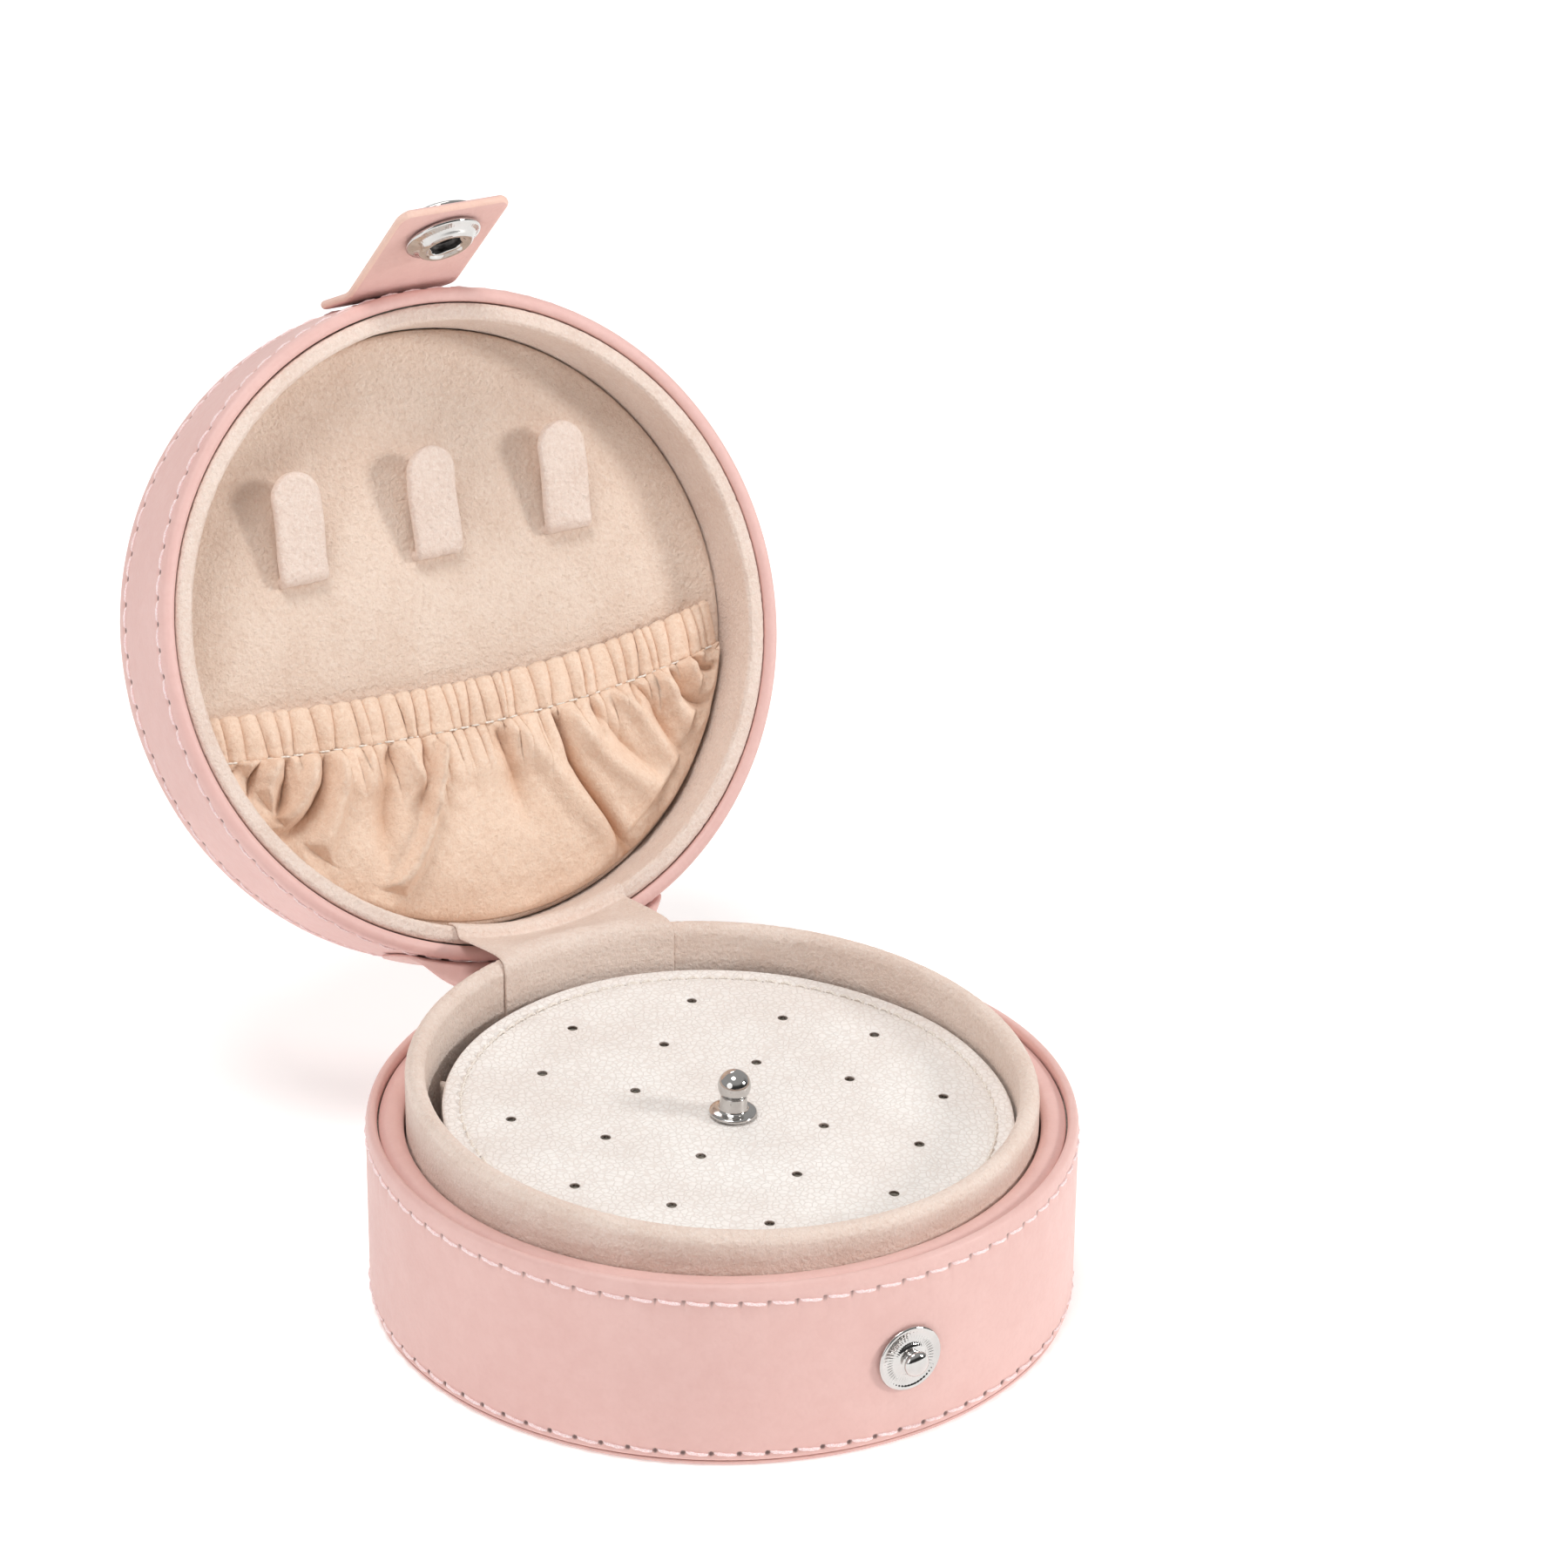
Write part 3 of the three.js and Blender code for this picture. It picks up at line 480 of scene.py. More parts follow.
def slab(name, middle, half, material, **placing):
    """A closed solid about a grid of points. half is its half thickness, 0 along the grid's border."""
    across, along = np.gradient(middle, axis=1), np.gradient(middle, axis=0)
    normal = np.cross(along, across)
    normal /= np.maximum(np.linalg.norm(normal, axis=-1, keepdims=True), 1e-12)
    rows, cols = middle.shape[:2]
    half = half[..., None] * normal
    verts = np.concatenate([(middle + half).reshape(-1, 3), (middle - half).reshape(-1, 3)])
    faces = np.concatenate([grid_faces(rows, cols), grid_faces(rows, cols, start=rows * cols)[:, ::-1]])
    for key in ("crease", "dent"):
        if key in placing:
            placing[key] = np.concatenate([placing[key].ravel()] * 2)
    return piece(name, verts, faces, material, **placing)


def edge_falloff(distance, thickness):
    """Half thickness near a rounded edge, from each point's distance to it."""
    t = np.clip(distance / (thickness / 2), 0, 1)
    return thickness / 2 * np.sqrt(np.clip(1 - (1 - t) ** 2, 0, 1))


def edge_spaced(half, thickness, count):
    """Positions from -half to half, close together at both ends for a rounded edge."""
    ends = half - thickness / 2 * (1 - np.sin(np.linspace(0, math.pi / 2, 5)))
    inner = np.linspace(-(half - thickness / 2), half - thickness / 2, count)[1:-1]
    return np.concatenate([-ends[::-1], inner, ends])


def thread_run(name, holes, normals, material, radius=0.23, lift=0.12, slant=0.2, **placing):
    """A row of stitches, each a twisted strand from one needle hole to the next."""
    a, b = holes[:-1], holes[1:]
    normal = (normals[:-1] + normals[1:]) / 2
    normal /= np.linalg.norm(normal, axis=1)[:, None]
    ahead = b - a
    ahead /= np.linalg.norm(ahead, axis=1)[:, None]
    side = np.cross(normal, ahead)
    steps, sides = 13, 8
    t = np.linspace(0.1, 0.9, steps)
    bow = np.sin(math.pi * (t - t[0]) / (t[-1] - t[0])).clip(0)
    height = lift * bow ** 0.5 - 0.3 * (1 - bow ** 0.3)
    middle = (a[:, None] + (b - a)[:, None] * t[None, :, None]
              + normal[:, None] * height[None, :, None]
              + side[:, None] * (slant * (1 - 2 * t))[None, :, None])
    phi = np.linspace(0, 2 * math.pi, sides, endpoint=False)
    lobes = 1 + 0.16 * np.cos(2 * (phi[None] - 9.0 * t[:, None]))
    taper = np.clip(np.minimum(t, 1 - t) * 14, 0.35, 1)[:, None]
    ring = radius * lobes * taper
    verts = (middle[:, :, None]
             + normal[:, None, None] * (ring * np.sin(phi))[None, :, :, None]
             + side[:, None, None] * (ring * np.cos(phi))[None, :, :, None])
    one = grid_faces(steps, sides, wrap_cols=True)
    faces = np.concatenate([one + k * steps * sides for k in range(len(a))])
    return piece(name, verts, faces, material, **placing)


# Stitched rows round the walls

WALL_COLUMNS = 960
WALL_PITCH = 3.8


class Row:
    """A row of stitches on a circle about Z: its height, radius and number of stitches."""

    def __init__(self, height, radius, pitch=WALL_PITCH):
        self.height = height
        self.radius = radius
        self.count = round(2 * math.pi * radius / pitch)

    def dents(self, theta, off, hole_w=0.36, line_w=0.55):
        """(needle holes, pressed line) from 0 to 1, at an angle and a distance to one side of the row."""
        phase = (theta * self.count / (2 * math.pi)) % 1.0
        along = np.minimum(phase, 1 - phase) * 2 * math.pi * self.radius / self.count
        hole = np.exp(-(along ** 2 + off ** 2) / (2 * hole_w ** 2))
        line = np.exp(-off ** 2 / (2 * line_w ** 2))
        return hole, line

    def thread(self, name, **placing):
        angle = np.arange(self.count + 1) * 2 * math.pi / self.count
        out = around(angle, 1.0, np.zeros_like(angle))
        holes = out * (self.radius - 0.1) + np.array([0, 0, self.height])
        return thread_run(name, holes, out, THREAD, **placing)

    def band(self):
        """The fine band that the row needs in a wall's profile."""
        return (self.height - 1.2, self.height + 1.2, 0.24)


def wall_change(rows, seed):
    """A change for revolve that presses rows of needle holes into a wall's outside, marks them for painted shade,
    and waves the wall a little.
    """
    def change(theta, r, z):
        outside = r > OUTER_R - 0.9
        dr, dark = np.zeros_like(r), np.zeros_like(r)
        for row in rows:
            hole, line = row.dents(theta, z - row.height)
            dr -= outside * (0.3 * hole + 0.07 * line)
            # the same holes get painted shade
            dark += outside * hole
        place = around(theta, r, z)
        dr += 0.03 * wobble(place, 26, seed)
        return np.minimum(dr, 0.0), 0.0, dark
    return change


def base_wall():
    rows = [Row(BASE_RIM_Z - 2.7, OUTER_R), Row(1.95, OUTER_R)]
    skin = OUTER_R - 0.7
    top = BASE_RIM_Z
    profile = rounded([
        (skin, 0.8), (OUTER_R - 0.35, 0.8), (OUTER_R, 1.2), (OUTER_R, top - 1.3),
        (OUTER_R - 0.25, top - 0.35), (OUTER_R - 0.8, top), (LIP_R + 0.25, top - 0.15), (LIP_R, top - 0.8),
        (LIP_R, top - 2.1), (skin, top - 2.1),
    ], 0.5, loop=True)
    profile = spaced(profile, 2.2, [row.band() for row in rows], loop=True, beyond=OUTER_R - 0.6)
    revolve("base_wall", profile, WALL_COLUMNS, PINK, change=wall_change(rows, 3), body="base",
            stands_for=["base_wall_leather"])
    rows[0].thread("base_stitches_top", body="base", slot="leather")
    rows[1].thread("base_stitches_bottom", body="base", slot="leather")


def base_inside():
    floor = rounded([(0, 0), (OUTER_R - 0.65, 0), (OUTER_R - 0.3, 0.35), (OUTER_R - 0.3, 0.7), (0, 0.7)], 0.3)
    revolve("base_underside", spaced(floor, 4), 240, PINK, loop=False, body="base",
            stands_for=["base_bottom_leather"])
    inner, outer = COLLAR_R + 0.25, LIP_R - 0.2
    ledge = rounded([
        (inner, LEDGE_Z - 7), (inner, LEDGE_Z - 0.8), (inner + 1.0, LEDGE_Z - 0.15), (outer - 1.2, LEDGE_Z),
        (outer, LEDGE_Z - 0.7), (outer, LEDGE_Z - 1.3), (outer - 0.7, LEDGE_Z - 1.3),
        (inner + 0.5, LEDGE_Z - 1.3), (inner + 0.5, LEDGE_Z - 7),
    ], 0.5, loop=True)
    revolve("base_ledge", spaced(ledge, 0.9, loop=True), 480, PINK, body="base",
            stands_for=["base_ledge_leather"])


def fuzz(amount, wavelength, seed, ease=None):
    """A change for revolve that roughens a velvet surface a little."""
    def change(theta, r, z):
        place = around(theta, r, z)
        field = amount * wobble(place, wavelength, seed)
        dz = field * 0.6 * (z > ease) if ease is not None else 0.0
        return -np.abs(field), np.minimum(dz, 0.0), 0.0
    return change


def tilt_above(points):
    """Tilts the collar's upper part, above the base's rim, with the insert."""
    share = smoothstep((points[..., 2] - (BASE_RIM_Z - 3)) / 4)
    points[..., 2] += share * rise(points[..., 0], points[..., 1])
    return points


def collar():
    out, inn, top = COLLAR_R, COLLAR_IN_R, COLLAR_Z
    bottom = span("collar_velvet")[0][2]
    low = BASE_RIM_Z - 6.4
    profile = rounded([
        (out, low), (out, top - 1.1), (out - 0.6, top - 0.2), ((out + inn) / 2, top), (inn + 0.6, top - 0.2),
        (inn, top - 1.1), (inn, bottom), (inn + 0.5, bottom), (inn + 0.5, top - 0.75),
        (out - 0.5, top - 0.75), (out - 0.5, low),
    ], 0.55, loop=True)
    profile = spaced(profile, 1.4, [(BASE_RIM_Z - 2, top, 0.55)], loop=True)
    revolve("collar", profile, 560, VELVET, change=fuzz(0.045, 1.1, 5, top - 1.0), settle=tilt_above,
            body="base", stands_for=["collar_velvet"])


def divider(name, length, middle_x, turn, node):
    """A velvet-covered wall with soft edges, whose top follows the tilted plate."""
    thick = 2.0
    low, high = FLOOR_TOP + 0.1, PLATE_C[2] - PLATE_T - 0.25
    xs = edge_spaced(length / 2, thick, 60)
    zs = edge_spaced((high - low) / 2, thick, 24)
    grid_x, grid_z = np.meshgrid(xs, zs)
    end = np.minimum(length / 2 - np.abs(grid_x), (high - low) / 2 - np.abs(grid_z))
    x, z = grid_x + middle_x, grid_z + (low + high) / 2
    middle = np.stack([x * math.cos(turn), x * math.sin(turn), z], -1)
    middle[..., 2] += (z - low) / (high - low) * rise(middle[..., 0], middle[..., 1])
    slab(name, middle, edge_falloff(end, thick) * 0.98, VELVET, body="base", stands_for=[node])


def tray():
    pad_lo, pad_hi = span("floor_pad")
    r, low, high = pad_hi[0], pad_lo[2], pad_hi[2]
    pad = rounded([(0, low), (r, low), (r, high - 0.5), (r - 0.6, high), (0, high)], 0.5)
    revolve("tray_floor", spaced(pad, 1.6), 200, VELVET, loop=False, change=fuzz(0.02, 2, 9, 3.0),
            body="base", stands_for=["floor_pad"])
    reach = COLLAR_IN_R - 0.6
    divider("divider_across", 2 * reach, 0, DIVIDER_TURN, "divider_long")
    divider("divider_half", reach - 1.2, 1.2 + (reach - 1.2) / 2, DIVIDER_TURN - math.pi / 2, "divider_short")


# Plate

def hole_centres():
    """The plate's holes, in the same grid as the CAD plate's."""
    grid = [(i, j) for i in range(-2, 3) for j in range(-2, 3) if abs(i) + abs(j) < 4 and (i, j) != (0, 0)]
    c, s = math.cos(HOLE_TURN), math.sin(HOLE_TURN)
    return [((i * c - j * s) * HOLE_PITCH, (i * s + j * c) * HOLE_PITCH) for i, j in grid]


def circle(centre, radius, count, turn=0.0):
    a = np.arange(count) * 2 * math.pi / count + turn
    return np.stack([centre[0] + radius * np.cos(a), centre[1] + radius * np.sin(a)], -1)


HOLE_SIDES = 20
CORE_R = 35.0
RIM_COLUMNS = 480


def plate_core_mesh(holes):
    """(points, faces) of the flat area within CORE_R, fine round the holes, each hole a (centre, radius)."""
    points, loops = [], []
    for centre, r in holes:
        loops.append(list(range(len(points), len(points) + HOLE_SIDES)))
        points += circle(centre, r, HOLE_SIDES).tolist()
    loops.append(list(range(len(points), len(points) + RIM_COLUMNS)))
    points += circle((0, 0), CORE_R, RIM_COLUMNS).tolist()
    for centre, r in holes:
        for k, grow in enumerate((0.16, 0.4, 0.8, 1.4)):
            points += circle(centre, r + grow, HOLE_SIDES, 0.15 * (k + 1)).tolist()
    step = 1.25
    for i in range(-32, 33):
        for j in range(-32, 33):
            x, y = (i + 0.5 * (j % 2)) * step, j * step * 0.866
            clear = all(math.hypot(x - c[0], y - c[1]) > r + 1.9 for c, r in holes)
            if clear and math.hypot(x, y) < CORE_R - 0.6:
                points.append((x, y))
    edges = [(loop[k], loop[(k + 1) % len(loop)]) for loop in loops for k in range(len(loop))]
    flat, _, faces, *_ = geometry.delaunay_2d_cdt([Vector(p) for p in points], edges, [], 0, 1e-5)
    flat = np.array([tuple(p) for p in flat])
    inside = []
    for face in faces:
        middle = flat[list(face)].mean(0)
        if all(math.hypot(middle[0] - c[0], middle[1] - c[1]) > r * 0.98 for c, r in holes):
            inside.append(list(face))
    return flat, inside


def plate_rim(low, high, radius, stitches):
    """(points, faces, painted shade in its stitch holes) of the ring outside CORE_R: a rolled top edge and a row
    of stitches.
    """
    edge = 0.45
    profile = [(CORE_R, high)] + [(r, high) for r in np.arange(CORE_R + 0.35, radius - edge - 0.05, 0.28)]
    roll = np.linspace(0, math.pi / 2, 5)
    thick = min(edge, (high - low) * 0.8)
    profile += [(radius - edge + edge * math.sin(t), high - thick + thick * math.cos(t)) for t in roll]
    profile += [(radius, low), (CORE_R, low)]
    angle, r, z = spun(profile, RIM_COLUMNS)
    dent = np.zeros_like(r)
    if stitches:
        on_top = z > high - 0.3
        hole, line = stitches.dents(angle, r - stitches.radius, 0.24, 0.6)
        hole = hole * on_top
        z = z - 0.25 * hole - 0.16 * line * on_top
        # painted shade in the stitch holes
        dent = 0.8 * hole
    return around(angle, r, z).reshape(-1, 3), grid_faces(*r.shape, wrap_cols=True), dent.ravel()


def plate_sheet(name, low, high, radius, hole_r, middle_r, material, dimple, stitches=None, **placing):
    """A round layer with holes through it, whose edges dip a little."""
    holes = [(c, hole_r) for c in hole_centres()] + [(tuple(KNOB_SHIFT), middle_r)]
    flat, inside = plate_core_mesh(holes)
    count = len(flat)
    sink, dent = np.zeros(count), np.zeros(count)
    for centre, r in holes:
        gap = np.hypot(flat[:, 0] - centre[0], flat[:, 1] - centre[1]) - r
        sink += dimple * np.exp(-np.maximum(gap, 0) / 0.45)
        # painted shade on the plate round each hole's edge
        dent += 0.55 * np.exp(-np.maximum(gap, 0) / 0.16) * (dimple > 0)
    verts = [np.column_stack([flat, high - sink]), np.column_stack([flat, np.full(count, low)])]
    shade = [dent, np.zeros(count)]
    faces = inside + [[v + count for v in reversed(f)] for f in inside]
    start = 2 * count
    sunk = high - dimple
    for centre, r in holes:
        ring = circle(centre, r, HOLE_SIDES)
        wall = [np.column_stack([ring, np.full(HOLE_SIDES, z)]) for z in (sunk, (sunk + low) / 2, low)]
        verts.append(np.concatenate(wall))
        # painted shade: the hole walls full, their top edge less
        shade.append([0.55 * (dimple > 0)] * HOLE_SIDES + [1.0] * (2 * HOLE_SIDES))
        faces += grid_faces(3, HOLE_SIDES, wrap_cols=True, start=start).tolist()
        start += 3 * HOLE_SIDES
    rim_verts, rim_faces, rim_dent = plate_rim(low, high, radius, stitches)
    verts = np.concatenate(verts + [rim_verts])
    faces += (rim_faces + start).tolist()
    wave = wobble(verts * [1, 1, 0], 30, 21) * 0.07
    verts[:, 2] += np.where(verts[:, 2] > (low + high) / 2, wave - 0.1, 0) * (dimple > 0)
    return piece(name, on_plate(verts), faces, material, dent=np.concatenate(shade + [rim_dent]),
                 body="plate",
                 **placing)


def plate():
    row = Row(0, PLATE_R - 2.6, 2.3)
    plate_sheet("plate_top", -0.7, 0, PLATE_R, 0.72, 1.45, CREAM, 0.14, row, stands_for=["plate_leather"])
    plate_sheet("plate_core", 0.7 - PLATE_T, -0.8, PLATE_R - 0.45, 0.75, 1.5, BOARD, 0.0,
                stands_for=["plate_board"])
    plate_sheet("plate_lining", -PLATE_T, 0.6 - PLATE_T, PLATE_R - 0.25, 0.75, 3.2, VELVET, 0.0,
                stands_for=["plate_backing"])
    angle = np.arange(row.count + 1) * 2 * math.pi / row.count
    holes = around(angle, row.radius, np.full_like(angle, -0.3))
    up = on_plate([[0.0, 0.0, 1.0]]) - on_plate([[0.0, 0.0, 0.0]])
    thread_run("plate_stitches", on_plate(holes), np.tile(up, (len(angle), 1)), CREAM_THREAD, 0.2, 0.24, 0.1,
               body="plate", slot="cream_leather")


def knob():
    """The chromed pull: a flat flange, a waisted post and a ball, screwed on through the plate."""
    foot, ball = 0.1, 2.35
    top = foot + 6.8
    middle = top - ball
    profile = [(0, foot), (3.1, foot), (3.35, foot + 0.12), (3.4, foot + 0.35), (3.3, foot + 0.55),
               (2.9, foot + 0.68), (2.25, foot + 0.75), (2.05, foot + 0.95), (1.95, foot + 1.5),
               (1.85, foot + 2.9), (1.72, foot + 3.0)]
    profile += [(ball * math.cos(t), middle + ball * math.sin(t))
                for t in np.linspace(-0.68, math.pi / 2, 22)]
    profile[-1] = (0, top)

    def settle(points):
        return on_plate(points + np.array([*KNOB_SHIFT, 0]))

    revolve("knob_post", rounded(profile, 0.12, 3), 72, NICKEL, loop=False, settle=settle, body="plate",
            stands_for=["knob"])
    low = 0.1 - PLATE_T
    head = [(0, 0), (1.1, 0), (1.1, low + 0.5), (2.8, low + 0.5), (2.75, low + 0.2), (2.2, low), (0, low)]
    head = rounded(head, 0.12, 4)
    revolve("knob_screw_head", head, 48, NICKEL, loop=False, settle=settle, body="plate",
            stands_for=["knob_screw"])


# Snap parts and rivet, turned about an axis that points along -Y

def turned_out(name, profile, columns, material, base, change=None, tilt=0.0, **placing):
    """A body of revolution whose axis leaves the point base along -Y, after a turn by tilt about X."""
    angle, r, h = spun(profile, columns)
    if change:
        r, h = change(angle, r, h)
    verts = tipped(np.stack([r * np.cos(angle), -h, r * np.sin(angle)], -1), tilt) + np.asarray(base)
    return piece(name, verts, grid_faces(len(profile), columns, wrap_cols=True), material, **placing)


def dome(radius, height, thick):
    """A cap's profile: a domed top, a rolled edge and a flat back."""
    t = np.linspace(0, 1, 16)
    top = [(radius * 0.965 * k, thick + (height - thick) * (1 - k ** 2.3)) for k in t]
    edge = [(radius, thick * 0.62), (radius * 0.985, thick * 0.2), (radius * 0.95, 0), (0, 0)]
    return rounded(top + edge, 0.18, 4)


def snap_stud():
    face = -OUTER_R - 0.1

    def knurl(angle, r, h):
        zone = np.exp(-((r - 3.3) / 0.75) ** 2) * (h > 0.2) * (h < 0.6)
        return r, h + 0.055 * zone * np.cos(48 * angle)

    profile = [(0, -2.2), (1.1, -2.2), (1.1, 0), (4.5, 0), (4.75, 0.12), (4.8, 0.3), (4.7, 0.48),
               (4.45, 0.56), (4.2, 0.5), (4.0, 0.4), (3.6, 0.34), (3.2, 0.32), (2.8, 0.33), (2.45, 0.4),
               (2.15, 0.6), (1.85, 0.72), (1.5, 0.8), (1.25, 0.95), (1.15, 1.2), (1.35, 1.45)]
    profile += [(1.85 * math.cos(t), 1.95 + 0.95 * math.sin(t))
                for t in np.linspace(-0.5, math.pi / 2, 14)]
    profile[-1] = (0, 2.9)
    turned_out("stud", rounded(profile, 0.1, 3), 192, NICKEL, (0, face, STUD_Z), knurl, body="base",
               stands_for=["snap_stud"])


BEND_Z = STRAP_LO[2] - 0.3
STRAP_MID_Y = (STRAP_LO[1] + STRAP_HI[1]) / 2
STRAP_T = STRAP_HI[1] - STRAP_LO[1]
STRAP_W = STRAP_HI[0]
REST = math.radians(19.6)
FLAP_L = 26.2
SNAP_S = 18.4


def strap_path(s):
    """Points (y, z) of the closed lid at distances s past the bend, above it where s is negative."""
    s = np.asarray(s, float)
    ease = 2.2
    turn = REST * smoothstep((s + ease) / (2 * ease))
    fine = np.linspace(-40, 40, 8001)
    bend = REST * smoothstep((fine + ease) / (2 * ease))
    y = np.concatenate([[0], np.cumsum(-np.sin(bend[:-1]) * 0.01)])
    z = np.concatenate([[0], np.cumsum(-np.cos(bend[:-1]) * 0.01)])
    at = np.interp(0, fine, np.arange(8001))
    y0, z0 = np.interp(at, np.arange(8001), y), np.interp(at, np.arange(8001), z)
    return np.interp(s, fine, y - y0) + STRAP_MID_Y, np.interp(s, fine, z - z0) + BEND_Z, turn


def strap():
    """The closing strap, whose cut edges show a lighter tone."""
    top = STRAP_HI[2] - BEND_Z
    thick = STRAP_T
    corner = 2.6
    total = top + FLAP_L
    along = edge_spaced(total / 2, thick, 96) + (FLAP_L - top) / 2
    rows, halves = [], []
    for s in along:
        from_end = min(s + top, FLAP_L - s)
        past = max(0.0, corner - from_end)
        width = STRAP_W - corner + math.sqrt(max(corner ** 2 - past ** 2, 0.0))
        xs = edge_spaced(1.0, thick / width, 44) * width
        y, z, _ = strap_path(s)
        rows.append(np.stack([xs, np.full_like(xs, y), np.full_like(xs, z)], -1))
        side = width - np.abs(xs)
        halves.append(edge_falloff(np.minimum(side, max(from_end, 0.0)), thick))
    made = slab("strap", np.array(rows), np.array(halves), PINK, lid=True,
                stands_for=["strap_root", "strap_flap"])
    made.data.materials.append(PINK_EDGE)
    faces = made.data.polygons
    normals = np.zeros(len(faces) * 3)
    faces.foreach_get("normal", normals)
    on_edge = np.abs(tipped(normals.reshape(-1, 3), LID_ANGLE)[:, 1]) <= 0.8
    faces.foreach_set("material_index", on_edge.astype(np.int32))
    start = opened([0, *[float(v) for v in strap_path(-2.4)[:2]]]) * MM
    end = opened([0, *[float(v) for v in strap_path(2.4)[:2]]]) * MM
    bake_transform(made)


def strap_metal():
    low, high = span("rivet_cap", lid=True)
    rivet = (0, STRAP_LO[1] - 0.25, (low[2] + high[2]) / 2)
    cap = dome(5.05, 1.95, 0.75)
    post = [(1.3, -0.3), (1.3, -4.2), (0, -4.2)]
    turned_out("rivet", np.array(list(cap[:-1]) + [(1.3, 0)] + post), 96, NICKEL, rivet, body="lid",
               stands_for=["rivet_cap"])
    y, z, turn = strap_path(SNAP_S)
    on_strap = (0, float(y), float(z))
    tilt = -float(turn)
    lift = STRAP_T / 2 + 0.2
    turned_out("snap_dome", dome(6.15, 2.45, 0.8) + [0, lift], 112, NICKEL, on_strap, tilt=tilt,
               body="strap", stands_for=["snap_cap"])

    def spring(angle, r, h):
        square = 1 - 0.1 * np.cos(4 * (angle + 0.5)) * np.exp(-((r - 2.4) / 0.5) ** 2) * (np.abs(h) > 1.0)
        ridges = 0.05 * np.cos(60 * angle) * np.exp(-((r - 4.9) / 0.45) ** 2)
        return r * square, h - ridges

    ring = [(0, 0), (5.35, 0), (5.65, 0.2), (5.75, 0.45), (5.6, 0.75), (5.2, 0.95), (4.75, 1.15), (4.4, 1.5),
            (4.1, 1.95), (3.7, 2.2), (3.3, 2.2), (3.0, 1.98), (2.8, 1.8), (2.65, 1.8), (2.5, 1.72),
            (2.4, 1.5)]
    ring = rounded(ring, 0.12, 3)
    ring[:, 1] = -ring[:, 1] - lift
    turned_out("snap_ring", ring, 144, NICKEL, on_strap, spring, tilt, body="strap",
               stands_for=["snap_socket"])
    cup = rounded([(2.5, 1.6), (2.5, 0.9), (2.2, 0.35), (0, 0.3)], 0.2, 4)
    cup[:, 1] = -cup[:, 1] - lift
    # the cup's inside in dark nickel: painted shade
    turned_out("snap_cup", cup, 96, CUP_SHADE, on_strap, tilt=tilt, body="strap", slot="metal")


# Lid

def lid_wall():
    rows = [Row(LID_EDGE_Z - 3.1, OUTER_R), Row(LID_RIM_Z + 2.0, OUTER_R)]
    skin = OUTER_R - 0.7
    low, high = LID_RIM_Z, LID_EDGE_Z
    ring = OUTER_R - 2.2
    profile = rounded([
        (OUTER_R, low + 1.1), (OUTER_R, high - 1.1), (OUTER_R - 0.35, high - 0.25), (OUTER_R - 0.95, high),
        (LIP_R + 0.1, high - 0.35), (LIP_R, high - 1.2), (skin, high - 1.2), (skin, low + 2.8),
        (ring, low + 2.8), (ring, low + 0.6), (ring + 0.5, low + 0.1), (OUTER_R - 1, low),
        (OUTER_R - 0.35, low + 0.3),
    ], 0.5, loop=True)
    profile = spaced(profile, 2.2, [row.band() for row in rows], loop=True, beyond=OUTER_R - 0.6)
    revolve("lid_wall", profile, WALL_COLUMNS, PINK, change=wall_change(rows, 13), body="lid",
            stands_for=["lid_wall_leather"])
    rows[0].thread("lid_stitches_top", body="lid", slot="leather")
    rows[1].thread("lid_stitches_bottom", body="lid", slot="leather")


def lid_top():
    edge = LIP_R - 0.2
    top = LID_TOP_Z
    outer = [(edge * k, top - 3.3 * k ** 4) for k in np.linspace(0, 0.985, 28)]
    tuck = [(edge, top - 3.75), (edge, top - 4.2)]
    inner = [(edge * k, top - 0.8 - 3.3 * k ** 4) for k in np.linspace(0.975, 0, 14)]

    def soft(theta, r, z):
        place = around(theta, r, z)
        near = np.clip((r - 30) / 16, 0, 1) * (r < edge - 0.1)
        pull = -0.10 * near ** 2 * (1 + np.cos(theta * 57 + 2 * np.sin(theta * 5)))
        return 0.0, np.minimum(0.12 * wobble(place, 34, 31) - 0.14, 0) + pull, 0.0

    made = revolve("lid_top", rounded(outer + tuck + inner, 0.25, 3), 400, PINK, loop=False, change=soft,
                   body="lid", stands_for=["lid_top_leather"])


